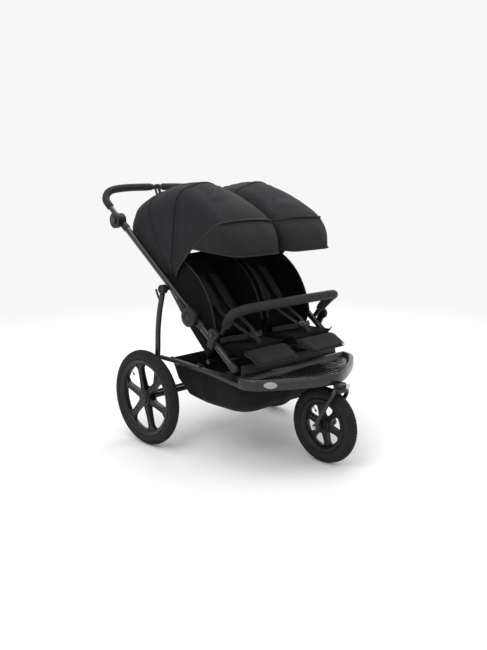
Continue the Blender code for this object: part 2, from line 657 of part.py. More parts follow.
strap_top = Vector((0.0, HUB_Y + 0.136, HUB_Z + 0.139))
strap = [(0.0, strap_top.y - 0.016, strap_top.z - 0.012), (0.004, strap_top.y - 0.026, strap_top.z - 0.050),
         (0.006, strap_top.y - 0.040, strap_top.z - 0.095), (0.002, strap_top.y - 0.052, strap_top.z - 0.118),
         (-0.006, strap_top.y - 0.040, strap_top.z - 0.112),
         (-0.008, strap_top.y - 0.022, strap_top.z - 0.060)]
bent_tube("wrist_strap", smooth_path(strap, 3), 0.0022, "fabric_black", tilt, 1)

# ---------------------------------------------------------------- bumper bar
KNUCKLE_Y, KNUCKLE_Z = -0.375, 0.530
SOCKET_DEPTH = 0.014
SOCKET_R = 0.024
BUMPER_BUTTON_R = 0.010
swing = pivot("bumper_swing", KNUCKLE_Y, KNUCKLE_Z)


def bumper_route():
    """Return the bumper bar's bent tube from socket to socket."""
    half = [(TUBE_X - 0.026, KNUCKLE_Y + 0.004, KNUCKLE_Z - 0.005),
            (TUBE_X - 0.023, KNUCKLE_Y - 0.030, KNUCKLE_Z + 0.040),
            (TUBE_X - 0.014, KNUCKLE_Y - 0.070, KNUCKLE_Z + 0.083),
            (TUBE_X - 0.045, KNUCKLE_Y - 0.112, KNUCKLE_Z + 0.106),
            (0.150, KNUCKLE_Y - 0.126, KNUCKLE_Z + 0.111)]
    return smooth_path(half + [(0.0, KNUCKLE_Y - 0.129, KNUCKLE_Z + 0.112)] + mirrored(half[::-1]), 3)


bumper = bumper_route()
bent_tube("bumper_tube", bumper, BUMPER_TUBE_R, "frame_paint", swing, 3)
foam = bmesh.new()
add_sleeve(foam, [p for p in bumper if p.z > KNUCKLE_Z + 0.040], BUMPER_TUBE_R + 0.0010, BUMPER_R)
mesh_piece("bumper_foam", foam, "foam", swing)
for side, sign in SIDES:
    face_x = sign * (OUTBOARD + SOCKET_DEPTH)
    socket = rod(f"bumper_socket_{side}", (sign * OUTBOARD, KNUCKLE_Y, KNUCKLE_Z),
                 (face_x, KNUCKLE_Y, KNUCKLE_Z), SOCKET_R, "plastic_black", sides=24)
    stalk = bmesh.new()
    add_box(stalk, (sign * (OUTBOARD + 0.0055), KNUCKLE_Y + 0.013, KNUCKLE_Z - 0.030), (0.010, 0.030, 0.058),
            math.radians(24))
    combine(socket, f"bumper_stalk_{side}", stalk)
    cut_pocket(socket, f"bumper_pocket_{side}", face_x, sign, KNUCKLE_Y, KNUCKLE_Z, BUMPER_BUTTON_R)
    push = pivot(f"bumper_button_{side}_press", KNUCKLE_Y, KNUCKLE_Z, face_x)
    rod(f"bumper_button_{side}", (face_x - sign * GAP, KNUCKLE_Y, KNUCKLE_Z),
        (face_x + sign * (BUTTON_TRAVEL + 0.001), KNUCKLE_Y, KNUCKLE_Z), BUMPER_BUTTON_R, "plastic_satin",
        push, sides=20)

# ---------------------------------------------------------------- parking brake
BRAKE_Y, BRAKE_Z = 0.036, REAR_WHEEL_R + 0.004
brake = pivot("brake_press", BRAKE_Y, BRAKE_Z)
bm = bmesh.new()
add_cylinder(bm, (-0.318, BRAKE_Y, BRAKE_Z), (0.318, BRAKE_Y, BRAKE_Z), 0.007, sides=14)
mesh_piece("brake_bar", bm, "frame_paint", brake)
rounded_box("brake_clamp", (0.0, (BRAKE_Y - 0.007 + AXLE_TUBE_R) / 2, BRAKE_Z),
            (0.060, BRAKE_Y - 0.007 - AXLE_TUBE_R - 2 * GAP, 0.022), "plastic_black", edge=0.002)
rounded_box("brake_pedal", (0.0, BRAKE_Y + 0.0395, BRAKE_Z + 0.002), (0.110, 0.062, 0.014), "plastic_satin",
            brake, 0.10)


# ---------------------------------------------------------------- basket


def basket_ring(z, half_x, front, rear, corner, steps=3):
    """Return a rounded rectangle in plan at a height."""
    ring = []
    corners = ((half_x - corner, rear - corner, 0), (-half_x + corner, rear - corner, 90),
               (-half_x + corner, front + corner, 180), (half_x - corner, front + corner, 270))
    for centre_x, centre_y, start in corners:
        for step in range(steps + 1):
            angle = math.radians(start + 90 * step / steps)
            ring.append((centre_x + corner * math.cos(angle), centre_y + corner * math.sin(angle), z))
    return ring


BASKET_SKIN = 0.003
levels = [(0.0, 0.283, -0.476, -0.030, 0.040), (0.35, 0.284, -0.480, -0.060, 0.050),
          (0.70, 0.272, -0.470, -0.100, 0.070), (0.90, 0.225, -0.440, -0.150, 0.080),
          (1.0, 0.150, -0.380, -0.200, 0.060)]
outside = [basket_ring(BASKET_TOP_Z - BASKET_DEPTH * share, half_x, front, rear, corner)
           for share, half_x, front, rear, corner in levels]
inside = [basket_ring(BASKET_TOP_Z - (BASKET_DEPTH - BASKET_SKIN) * share, half_x - BASKET_SKIN,
                      front + BASKET_SKIN, rear - BASKET_SKIN, corner - BASKET_SKIN)
          for share, half_x, front, rear, corner in levels]
lofted("storage_basket", outside[::-1] + inside, "fabric_black")
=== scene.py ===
"""Looks of a side-by-side double jogging stroller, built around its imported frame.

Every sub-assembly is a class that holds its sizes and makes its own pieces. Places are given from the
rear axle line, as on the frame, and `place` turns them into the frame's own coordinates.
"""
from __future__ import annotations

import json
import logging
import math
from collections.abc import Callable, Sequence
from dataclasses import dataclass, field
from enum import Enum

import bmesh
import bpy
import numpy as np
from mathutils import Matrix, Vector, noise


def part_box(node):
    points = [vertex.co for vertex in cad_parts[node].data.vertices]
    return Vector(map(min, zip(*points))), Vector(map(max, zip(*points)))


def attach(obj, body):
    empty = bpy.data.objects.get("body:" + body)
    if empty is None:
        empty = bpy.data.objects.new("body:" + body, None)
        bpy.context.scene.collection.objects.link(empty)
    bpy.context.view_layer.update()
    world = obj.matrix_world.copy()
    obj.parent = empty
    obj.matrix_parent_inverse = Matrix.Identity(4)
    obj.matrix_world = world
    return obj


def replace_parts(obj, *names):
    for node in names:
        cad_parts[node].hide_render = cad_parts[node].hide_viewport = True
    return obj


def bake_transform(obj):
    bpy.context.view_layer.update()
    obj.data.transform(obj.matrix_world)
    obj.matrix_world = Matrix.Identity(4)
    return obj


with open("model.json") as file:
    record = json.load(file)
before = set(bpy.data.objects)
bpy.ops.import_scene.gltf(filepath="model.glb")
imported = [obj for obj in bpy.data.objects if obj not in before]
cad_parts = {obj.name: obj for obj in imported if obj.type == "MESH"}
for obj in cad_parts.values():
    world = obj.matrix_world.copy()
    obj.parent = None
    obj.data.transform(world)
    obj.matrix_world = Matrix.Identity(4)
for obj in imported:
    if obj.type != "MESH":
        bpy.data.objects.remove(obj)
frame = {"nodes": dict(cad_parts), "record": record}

log = logging.getLogger("stroller")
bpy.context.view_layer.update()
AXLE_Y = sum(corner.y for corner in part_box("rear_right_wheel")) / 2
SIDES = (("right", -1), ("left", 1))
TAU = 2 * math.pi

# ---------------------------------------------------------------- shared frame sizes, in metres
FOLD_Y, FOLD_Z = -0.235, 0.582
TUBE_X, TUBE_R = 0.310, 0.0135
TUBE_RISE = math.radians(36.9)
OUTBOARD = TUBE_X + TUBE_R + 0.0008
HUB_REACH = 0.606
SEAT_X = 0.152
REAR_X, REAR_RADIUS, REAR_SECTION, REAR_HUB_HALF = 0.381, 0.206, 0.0245, 0.0235
WHEELBASE, FRONT_RADIUS, FRONT_SECTION, FRONT_HUB_HALF = 0.670, 0.157, 0.029, 0.030
SOCKET_DEPTH = 0.014


def place(x: float, y: float, z: float) -> Vector:
    """Return the frame's point for one given from the rear axle line."""
    return Vector((x, y + AXLE_Y, z))


def up_tube(reach: float, offset: float = 0.0) -> tuple[float, float]:
    """Return y, z at a reach from the fold pivot up the side tube, and an offset above it."""
    return (FOLD_Y + reach * math.cos(TUBE_RISE) - offset * math.sin(TUBE_RISE),
            FOLD_Z + reach * math.sin(TUBE_RISE) + offset * math.cos(TUBE_RISE))


HUB_Y, HUB_Z = up_tube(HUB_REACH)
HOOD_Y, HOOD_Z = up_tube(0.188, -(TUBE_R + 0.009))


def ease(value: float, low: float, high: float) -> float:
    """Return a smooth step from 0 at low to 1 at high."""
    share = min(1.0, max(0.0, (value - low) / (high - low)))
    return share * share * (3 - 2 * share)


# ---------------------------------------------------------------- shader building
class Number:
    """A shader value whose Python operators add Math nodes."""

    def __init__(self, shading: Shading, socket: bpy.types.NodeSocket) -> None:
        """Wrap a socket of a material that is being built."""
        self.shading = shading
        self.socket = socket

    def _math(self, operation: str, *terms: Number | float) -> Number:
        """Return the result of one Math node.

        Args:
            operation: The node's operation.
            terms: Its inputs in order.

        Returns:
            The wrapped output.
        """
        values = {i: t.socket if isinstance(t, Number) else t for i, t in enumerate(terms)}
        return Number(self.shading,
                      self.shading.node("ShaderNodeMath", {"operation": operation}, values).outputs[0])

    def __add__(self, other: Number | float) -> Number:
        """Return self + other."""
        return self._math("ADD", self, other)

    __radd__ = __add__

    def __mul__(self, other: Number | float) -> Number:
        """Return self * other."""
        return self._math("MULTIPLY", self, other)

    __rmul__ = __mul__

    def __sub__(self, other: Number | float) -> Number:
        """Return self - other."""
        return self._math("SUBTRACT", self, other)

    def __rsub__(self, other: Number | float) -> Number:
        """Return other - self."""
        return self._math("SUBTRACT", other, self)

    def __abs__(self) -> Number:
        """Return the size of self."""
        return self._math("ABSOLUTE", self)

    def sine(self) -> Number:
        """Return the sine of self, in radians."""
        return self._math("SINE", self)

    def between(self, low: float, high: float) -> Number:
        """Return self rescaled smoothly and clamped.

        Args:
            low: The value that becomes 0.
            high: The value that becomes 1.

        Returns:
            The rescaled value.
        """
        settings = {"clamp": True, "interpolation_type": "SMOOTHSTEP"}
        made = self.shading.node("ShaderNodeMapRange", settings,
                                 {"Value": self.socket, "From Min": low, "From Max": high})
        return Number(self.shading, made.outputs["Result"])


class Shading:
    """Builds the nodes of one material round a Principled shader."""

    def __init__(self, name: str) -> None:
        """Start an empty material of that name."""
        self.material = bpy.data.materials.new(name)
        self.material.use_nodes = True
        self.tree = self.material.node_tree
        self.shader = self.tree.nodes["Principled BSDF"]
        self.place = self.node("ShaderNodeTexCoord").outputs["Object"]

    def node(self, kind: str, settings: dict | None = None, sockets: dict | None = None) -> bpy.types.Node:
        """Add a node.

        Args:
            kind: The node's type.
            settings: Its own settings, which are set first.
            sockets: Values or links of its inputs, by name or number.

        Returns:
            The node.
        """
        made = self.tree.nodes.new(kind)
        for key, value in (settings or {}).items():
            setattr(made, key, value)
        for key, value in (sockets or {}).items():
            if isinstance(value, bpy.types.NodeSocket):
                self.tree.links.new(value, made.inputs[key])
            else:
                made.inputs[key].default_value = value
        return made

    def axes(self) -> list[Number]:
        """Return the three coordinates of the surface's place."""
        split = self.node("ShaderNodeSeparateXYZ", None, {0: self.place})
        return [Number(self, socket) for socket in split.outputs]

    def noise(self, size: float, detail: float = 2.0, stretch: Sequence[float] = (1, 1, 1)) -> Number:
        """Return soft random blotches.

        Args:
            size: Their size in metres.
            detail: How much finer noise is added.
            stretch: How far they are drawn out along each axis.

        Returns:
            A value from 0 to 1.
        """
        moved = self.node("ShaderNodeMapping", None,
                          {"Vector": self.place, "Scale": [1 / s for s in stretch]})
        made = self.node("ShaderNodeTexNoise", None,
                         {"Vector": moved.outputs[0], "Scale": 1 / size, "Detail": detail})
        return Number(self, made.outputs[0])

    def cells(self, size: float) -> Number:
        """Return the distance to the middle of random cells of a size in metres."""
        made = self.node("ShaderNodeTexVoronoi", None, {"Vector": self.place, "Scale": 1 / size})
        return Number(self, made.outputs["Distance"])

    def blend(self, factor: Number, low: Sequence[float], high: Sequence[float]) -> bpy.types.NodeSocket:
        """Return a colour between two by a factor."""
        made = self.node("ShaderNodeMix", {"data_type": "RGBA"},
                         {0: factor.socket, 6: (*low, 1.0), 7: (*high, 1.0)})
        return made.outputs[2]

    def relief(self, height: Number, depth: float, strength: float = 1.0) -> None:
        """Give the surface a relief of a depth in metres."""
        bump = self.node("ShaderNodeBump", None,
                         {"Height": height.socket, "Distance": depth, "Strength": strength})
        self.tree.links.new(bump.outputs[0], self.shader.inputs["Normal"])

    def drive(self, socket: str, value: Number | bpy.types.NodeSocket) -> None:
        """Link a value or a colour to one of the shader's inputs."""
        self.tree.links.new(value.socket if isinstance(value, Number) else value, self.shader.inputs[socket])


class Grain(Enum):
    """The kinds of surface texture that the finishes have."""

    WEAVE = "weave"
    WEBBING = "webbing"
    FOAM = "foam"
    MOULDED = "moulded"
    PAINT = "paint"
    RUBBER = "rubber"
    BRUSHED = "brushed"


@dataclass(frozen=True)
class Finish:
    """One finish: its look, its texture and the record's material slot that it belongs to."""

    name: str
    slot: str
    colour: tuple[float, float, float]
    roughness: float
    grain: Grain
    grain_size: float
    grain_depth: float
    metallic: float = 0.0
    coat: float = 0.0
    sheen: float = 0.0
    gloss: float = 0.5
    mottle: float = 0.25
    mottle_size: float = 0.05

    def _height(self, shading: Shading) -> Number:
        """Return the height of the finish's texture.

        Args:
            shading: The material that is being built.

        Returns:
            The height, in no fixed range.
        """
        wave = [(axis * (TAU / self.grain_size)).sine() for axis in shading.axes()]
        if self.grain is Grain.WEAVE:
            return wave[0] * wave[1] + wave[1] * wave[2] + wave[2] * wave[0]
        if self.grain is Grain.WEBBING:
            return abs(wave[0]) + abs(wave[2]) * 0.6 + shading.noise(self.grain_size * 0.4) * 0.5
        if self.grain is Grain.FOAM:
            return shading.cells(self.grain_size) + shading.noise(self.grain_size * 3) * 0.6
        if self.grain is Grain.BRUSHED:
            return shading.noise(self.grain_size, 4.0, (30, 1, 1))
        if self.grain is Grain.PAINT:
            return shading.noise(self.grain_size, 3.0)
        if self.grain is Grain.RUBBER:
            return shading.noise(self.grain_size, 4.0) + shading.cells(self.grain_size * 2) * 0.4
        return shading.cells(self.grain_size) + shading.noise(self.grain_size * 0.7) * 0.5

    def make(self) -> bpy.types.Material:
        """Build the material."""
        shading = Shading(self.name)
        inputs = shading.shader.inputs
        inputs["Metallic"].default_value = self.metallic
        inputs["Coat Weight"].default_value = self.coat
        inputs["Coat Roughness"].default_value = 0.25
        inputs["Sheen Weight"].default_value = self.sheen
        inputs["Specular IOR Level"].default_value = self.gloss
        inputs["Sheen Roughness"].default_value = 0.45
        shading.relief(self._height(shading), self.grain_depth)
        patches = shading.noise(self.mottle_size, 4.0).between(0.3, 0.7)
        low = [c * (1 - self.mottle) for c in self.colour]
        high = [c * (1 + self.mottle) for c in self.colour]
        shading.drive("Base Color", shading.blend(patches, low, high))
        uneven = shading.noise(self.mottle_size * 0.6, 3.0)
        shading.drive("Roughness", (uneven - 0.5) * 0.18 + self.roughness)
        return shading.material


HOOD_CLOTH = Finish("hood_cloth", "fabric_hood", (0.0098, 0.0098, 0.0122), 0.84, Grain.WEAVE, 0.0016, 0.00022,
                    sheen=0.03, gloss=0.22, mottle=0.14)
VISOR_CLOTH = Finish("visor_cloth", "fabric_hood", (0.0112, 0.0112, 0.0110), 0.82, Grain.WEAVE, 0.0016,
                     0.00022, sheen=0.03, gloss=0.22, mottle=0.12)
SEAT_CLOTH = Finish("seat_cloth", "fabric_black", (0.0030, 0.0030, 0.0034), 0.88, Grain.WEAVE, 0.0013,
                    0.00018, sheen=0.01, gloss=0.12, mottle=0.25)
PAD_CLOTH = Finish("leg_pad_cloth", "fabric_hood", (0.0062, 0.0062, 0.0076), 0.80, Grain.WEAVE, 0.0014,
                   0.0002, sheen=0.03, gloss=0.25, mottle=0.15)
BINDING = Finish("binding_tape", "fabric_hood", (0.0095, 0.0095, 0.0105), 0.70, Grain.WEBBING, 0.0016, 0.0002,
                 sheen=0.03, gloss=0.3)
WEBBING = Finish("strap_webbing", "fabric_black", (0.0055, 0.0055, 0.0062), 0.70, Grain.WEBBING, 0.0022,
                 0.0003, sheen=0.03, gloss=0.3)
BASKET_CLOTH = Finish("basket_cloth", "fabric_black", (0.0042, 0.0042, 0.0046), 0.82, Grain.WEAVE, 0.0018,
                      0.00025, sheen=0.02, gloss=0.2, mottle=0.3)
FOAM = Finish("grip_foam", "foam", (0.0078, 0.0078, 0.0080), 0.66, Grain.FOAM, 0.0016, 0.0003,
              gloss=0.3, mottle=0.18)
PAINT = Finish("frame_paint", "frame_paint", (0.0078, 0.0078, 0.0076), 0.36, Grain.PAINT, 0.0012, 0.00005,
               metallic=0.35, coat=0.35, mottle=0.15, mottle_size=0.02)
PLASTIC = Finish("moulded_plastic", "plastic_black", (0.0075, 0.0075, 0.0080), 0.48, Grain.MOULDED, 0.0008,
                 0.00008, gloss=0.35, mottle=0.12)
SATIN = Finish("satin_plastic", "plastic_satin", (0.0080, 0.0080, 0.0080), 0.30, Grain.MOULDED, 0.0011,
               0.00006, coat=0.25, gloss=0.35, mottle=0.12)
RIM = Finish("rim_plastic", "rim_plastic", (0.0045, 0.0045, 0.0047), 0.42, Grain.MOULDED, 0.0011, 0.00006,
             gloss=0.3)
TYRE = Finish("tyre_rubber", "tyre_rubber", (0.0082, 0.0080, 0.0078), 0.78, Grain.RUBBER, 0.0016, 0.00018,
              gloss=0.3, mottle=0.32, mottle_size=0.03)
STEEL = Finish("bright_steel", "steel", (0.55, 0.55, 0.57), 0.26, Grain.BRUSHED, 0.0006, 0.00003,
               metallic=1.0, mottle=0.06)
BADGE = Finish("blank_badge", "steel", (0.30, 0.30, 0.31), 0.38, Grain.BRUSHED, 0.0006, 0.00003, metallic=0.6,
               mottle=0.05)
CAD_FINISH = {"frame_paint": PAINT, "plastic_black": PLASTIC, "plastic_satin": SATIN, "tyre_rubber": TYRE,
              "rim_plastic": RIM, "foam": FOAM, "fabric_black": SEAT_CLOTH, "fabric_hood": HOOD_CLOTH,
              "steel": STEEL}
_made: dict[str, bpy.types.Material] = {}


def material(finish: Finish) -> bpy.types.Material:
    """Return the material of a finish, made once."""
    if finish.name not in _made:
        _made[finish.name] = finish.make()
    return _made[finish.name]


# ---------------------------------------------------------------- mesh building
def smooth_path(stations: Sequence[Sequence[float]], per_span: int = 8) -> list[Vector]:
    """Return points of a smooth curve through stations.

    Args:
        stations: Points that the curve passes through.
        per_span: How many points each span between stations gets.

    Returns:
        The curve's points, the last station included.
    """
    knots = [Vector(p) for p in stations]
    padded = [2 * knots[0] - knots[1], *knots, 2 * knots[-1] - knots[-2]]
    points = []
    for before, here, there, after in zip(padded, padded[1:], padded[2:], padded[3:]):
        for step in range(per_span):
            t = step / per_span
            points.append(0.5 * (2 * here + (there - before) * t
                                 + (2 * before - 5 * here + 4 * there - after) * t ** 2
                                 + (3 * here - before - 3 * there + after) * t ** 3))
    return [*points, knots[-1]]


def mirrored(points: Sequence[Sequence[float]]) -> list[tuple[float, float, float]]:
    """Return points reflected to the other side."""
    return [(-p[0], p[1], p[2]) for p in points]


def piece(name: str, bm: bmesh.types.BMesh, finish: Finish, body: str | None,
          sharp: float = 40.0) -> bpy.types.Object:
    """Turn a bmesh into a named piece with its finish.

    Args:
        name: The piece's name.
        bm: Its mesh, in the frame's coordinates, which is freed.
        finish: Its finish.
        body: The body that it rides on, or None to leave that to the caller.
        sharp: Edges that bend more than this many degrees stay sharp.

    Returns:
        The piece.
    """
    bmesh.ops.recalc_face_normals(bm, faces=bm.faces)
    mesh = bpy.data.meshes.new(name)
    bm.to_mesh(mesh)
    bm.free()
    mesh.shade_smooth()
    mesh.set_sharp_from_angle(angle=math.radians(sharp))
    made = bpy.data.objects.new(name, mesh)
    bpy.context.scene.collection.objects.link(made)
    mesh.materials.append(material(finish))
    if body:
        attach(made, body)
    return made


def skin(bm: bmesh.types.BMesh, rings: Sequence[Sequence[Vector]], round_ring: bool = True, caps: bool = True,
         closed: bool = False) -> None:
    """Join rings of equal length into a surface.

    Args:
        bm: The mesh to add to.
        rings: Rows of points.
        round_ring: Whether each row closes on itself.
        caps: Whether the first and last rows are closed with a face.
        closed: Whether the last row joins the first.
    """
    rows = [[bm.verts.new(p) for p in ring] for ring in rings]
    pairs = list(zip(rows, rows[1:])) + ([(rows[-1], rows[0])] if closed else [])
    count = len(rows[0])
    for low, high in pairs:
        for i in range(count if round_ring else count - 1):
            j = (i + 1) % count
            bm.faces.new((low[i], low[j], high[j], high[i]))
    if caps and round_ring and not closed:
        bm.faces.new(rows[0][::-1])
        bm.faces.new(rows[-1])


def sweep(bm: bmesh.types.BMesh, points: Sequence[Vector],
          section: Callable[[float], list[tuple[float, float]]],
          across: Vector | None = None, caps: bool = True) -> None:
    """Sweep a changing section along points.

    Args:
        bm: The mesh to add to.
        points: The path.
        section: Gives the section's (across, over) points at a share of the path.
        across: The section's across direction at the start, if it matters.
        caps: Whether the ends are closed.
    """
    side = across
    rings = []
    for index, point in enumerate(points):
        tangent = (points[min(index + 1, len(points) - 1)] - points[max(index - 1, 0)]).normalized()
        side = tangent.orthogonal() if side is None else side - tangent * side.dot(tangent)
        side.normalize()
        over = tangent.cross(side)
        share = index / (len(points) - 1)
        rings.append([point + side * a + over * b for a, b in section(share)])
    skin(bm, rings, caps=caps)


def circle(radius: float, sides: int = 16) -> list[tuple[float, float]]:
    """Return a round section."""
    return [(radius * math.cos(TAU * i / sides), radius * math.sin(TAU * i / sides)) for i in range(sides)]


def tube(name: str, points: Sequence[Vector], radius: float, finish: Finish, body: str | None,
         sides: int = 20) -> bpy.types.Object:
    """Return a round bar or tube.

    Args:
        name: The piece's name.
        points: Its centreline.
        radius: Its radius.
        finish: Its finish.
        body: The body that it rides on.
        sides: Facets round it.

    Returns:
        The piece.
    """
    bm = bmesh.new()
    sweep(bm, points, lambda share: circle(radius, sides))
    return piece(name, bm, finish, body)


def strap(name: str, points: Sequence[Vector], width: float, body: str | None, finish: Finish = WEBBING,
          across: Vector = Vector((1, 0, 0)), thick: float = 0.0016) -> bpy.types.Object:
    """Return a flat strap with soft edges.

    Args:
        name: The piece's name.
        points: Its centreline.
        width: Its width.
        body: The body that it rides on, or None to leave that to the caller.
        finish: Its finish.
        across: The direction of its width at the start.
        thick: Its thickness.

    Returns:
        The piece.
    """
    half, rise = width / 2, thick / 2
    flat = [(-half, 0), (-half * 0.93, -rise), (half * 0.93, -rise), (half, 0), (half * 0.93, rise),
            (-half * 0.93, rise)]
    bm = bmesh.new()
    sweep(bm, points, lambda share: flat, across.copy())
    return piece(name, bm, finish, body)


def turned(bm: bmesh.types.BMesh, profile: Sequence[tuple[float, float]], centre: Vector, steps: int = 48,
           axis: int = 0, closed: bool = True) -> None:
    """Turn a profile about an axis through a centre.

    Args:
        bm: The mesh to add to.
        profile: (radius, along) points.
        centre: A point on the axis.
        steps: Facets round the axis.
        axis: 0 for X, 1 for Y or 2 for Z.
        closed: Whether the profile closes on itself; an open one gets end caps.
    """
    first, second = (axis + 1) % 3, (axis + 2) % 3
    rings = []
    for radius, along in profile:
        ring = []
        for step in range(steps):
            point = centre.copy()
            point[axis] += along
            point[first] += radius * math.cos(TAU * step / steps)
            point[second] += radius * math.sin(TAU * step / steps)
            ring.append(point)
        rings.append(ring)
    skin(bm, rings, closed=closed)


def block(bm: bmesh.types.BMesh, centre: Vector, size: Sequence[float], edge: float,
          turn: Matrix | None = None) -> None:
    """Add a box with rounded edges.

    Args:
        bm: The mesh to add to.
        centre: The box's centre.
        size: Its three edge lengths.
        edge: How far its edges are rounded.
        turn: Its turn about its centre.
    """
    matrix = Matrix.Translation(centre) @ (turn or Matrix.Identity(4)) @ Matrix.Diagonal((*size, 1.0))
    made = bmesh.ops.create_cube(bm, size=1.0, matrix=matrix)
    edges = list({e for v in made["verts"] for e in v.link_edges})
    bmesh.ops.bevel(bm, geom=edges, offset=edge, segments=3, affect="EDGES", profile=0.5)


def apply_modifiers(made: bpy.types.Object) -> None:
    """Replace an object's mesh with its evaluated one and drop the modifiers."""
    bpy.context.view_layer.update()
    mesh = bpy.data.meshes.new_from_object(made.evaluated_get(bpy.context.evaluated_depsgraph_get()))
    made.modifiers.clear()
    made.data = mesh


def thicken(made: bpy.types.Object, thickness: float, offset: float = -1.0) -> None:
    """Give an open surface its cloth's thickness.

    Args:
        made: The surface, which is changed.
        thickness: The cloth's thickness.
        offset: -1 to grow inward from the surface, 0 to grow to both sides.
    """
    solid = made.modifiers.new("cloth", "SOLIDIFY")
    solid.thickness = thickness
    solid.offset = offset
    apply_modifiers(made)
    made.data.shade_smooth()


def inflate(made: bpy.types.Object, cap: float, voxel: float = 0.006, pressure: float = 4.0) -> None:
    """Puff a closed pad up like a filled cushion, by simulation.

    Args:
        made: The pad, in place, which is changed.
        cap: The furthest that a point may move.
        voxel: The size of the remeshed faces.
        pressure: The filling's pressure.
    """
    remesh = made.modifiers.new("remesh", "REMESH")
    remesh.mode = "VOXEL"
    remesh.voxel_size = voxel
    apply_modifiers(made)
    start = np.array([v.co for v in made.data.vertices], float)
    cloth = made.modifiers.new("cloth", "CLOTH")
    cloth.settings.use_pressure = True
    cloth.settings.uniform_pressure_force = pressure
    cloth.settings.effector_weights.gravity = 0.0
    scene = bpy.context.scene
    for step in range(1, 21):
        scene.frame_set(step)
    apply_modifiers(made)
    scene.frame_set(1)
    moved = np.array([v.co for v in made.data.vertices], float) - start
    length = np.linalg.norm(moved, axis=1, keepdims=True)
    moved *= np.minimum(1.0, cap / np.maximum(length, 1e-9))
    made.data.vertices.foreach_set("co", (start + moved).astype(np.float32).ravel())
    soften = made.modifiers.new("soften", "SMOOTH")
    soften.iterations = 4
    subdivision = made.modifiers.new("fine", "SUBSURF")
    subdivision.levels = subdivision.render_levels = 1
    apply_modifiers(made)
    made.data.shade_smooth()


# ---------------------------------------------------------------- studio
@dataclass
class Studio:
    """Pale floor, soft lights and the camera."""

    eye: tuple[float, float, float] = (-2.2166, -2.4596, 1.1382)
    pitch: float = math.pi / 2 - 0.200
    heading: float = -0.777
    lens: float = 40.87
    floor_half: float = 12.0
    floor_fade: float = 4.0
    lights: tuple = field(default_factory=lambda: (
        ("key", (-2.6, -1.0, 3.4), 2.2, 40.0), ("fill", (-0.6, -3.6, 2.0), 2.6, 16.0),
        ("rim", (2.6, 1.6, 2.8), 2.0, 40.0), ("top", (0.0, 0.2, 4.2), 3.2, 60.0)))

    def build(self) -> None:
        """Make the floor, the lights, the surroundings and the camera."""
        bm = bmesh.new()
        bmesh.ops.create_grid(bm, size=self.floor_half)
        mesh = bpy.data.meshes.new("floor")
        bm.to_mesh(mesh)
        bm.free()
        floor = bpy.data.objects.new("floor", mesh)
        bpy.context.scene.collection.objects.link(floor)
        shading = Shading("floor")
        shading.shader.inputs["Base Color"].default_value = (0.80, 0.80, 0.80, 1.0)
        across, along, _ = shading.axes()
        shading.drive("Alpha", (across * across + along * along).between(self.floor_fade ** 2, 1.0))
        shading.shader.inputs["Roughness"].default_value = 0.9
        shading.shader.inputs["Specular IOR Level"].default_value = 0.1
        mesh.materials.append(shading.material)
        aim = place(0, -0.3, 0.5)
        for name, where, size, power in self.lights:
            lamp = bpy.data.lights.new(name, "AREA")
            lamp.shape = "DISK"
            lamp.size = size
            lamp.energy = power
            lit = bpy.data.objects.new(name, lamp)
            lit.location = place(*where)
            lit.rotation_euler = (aim - lit.location).to_track_quat("-Z", "Y").to_euler()
            bpy.context.scene.collection.objects.link(lit)
        world = bpy.data.worlds.new("studio")
        world.use_nodes = True
        world.node_tree.nodes["Background"].inputs[0].default_value = (0.95, 0.95, 0.95, 1.0)
        world.node_tree.nodes["Background"].inputs[1].default_value = 0.98
        bpy.context.scene.world = world
        bpy.context.scene.view_settings.view_transform = "Standard"
        camera = bpy.data.cameras.new("camera")
        camera.lens = self.lens
        holder = bpy.data.objects.new("camera", camera)
        holder.location = place(*self.eye)
        holder.rotation_euler = (self.pitch, 0.0, self.heading)
        bpy.context.scene.collection.objects.link(holder)
        bpy.context.scene.camera = holder
        log.info("studio ready")


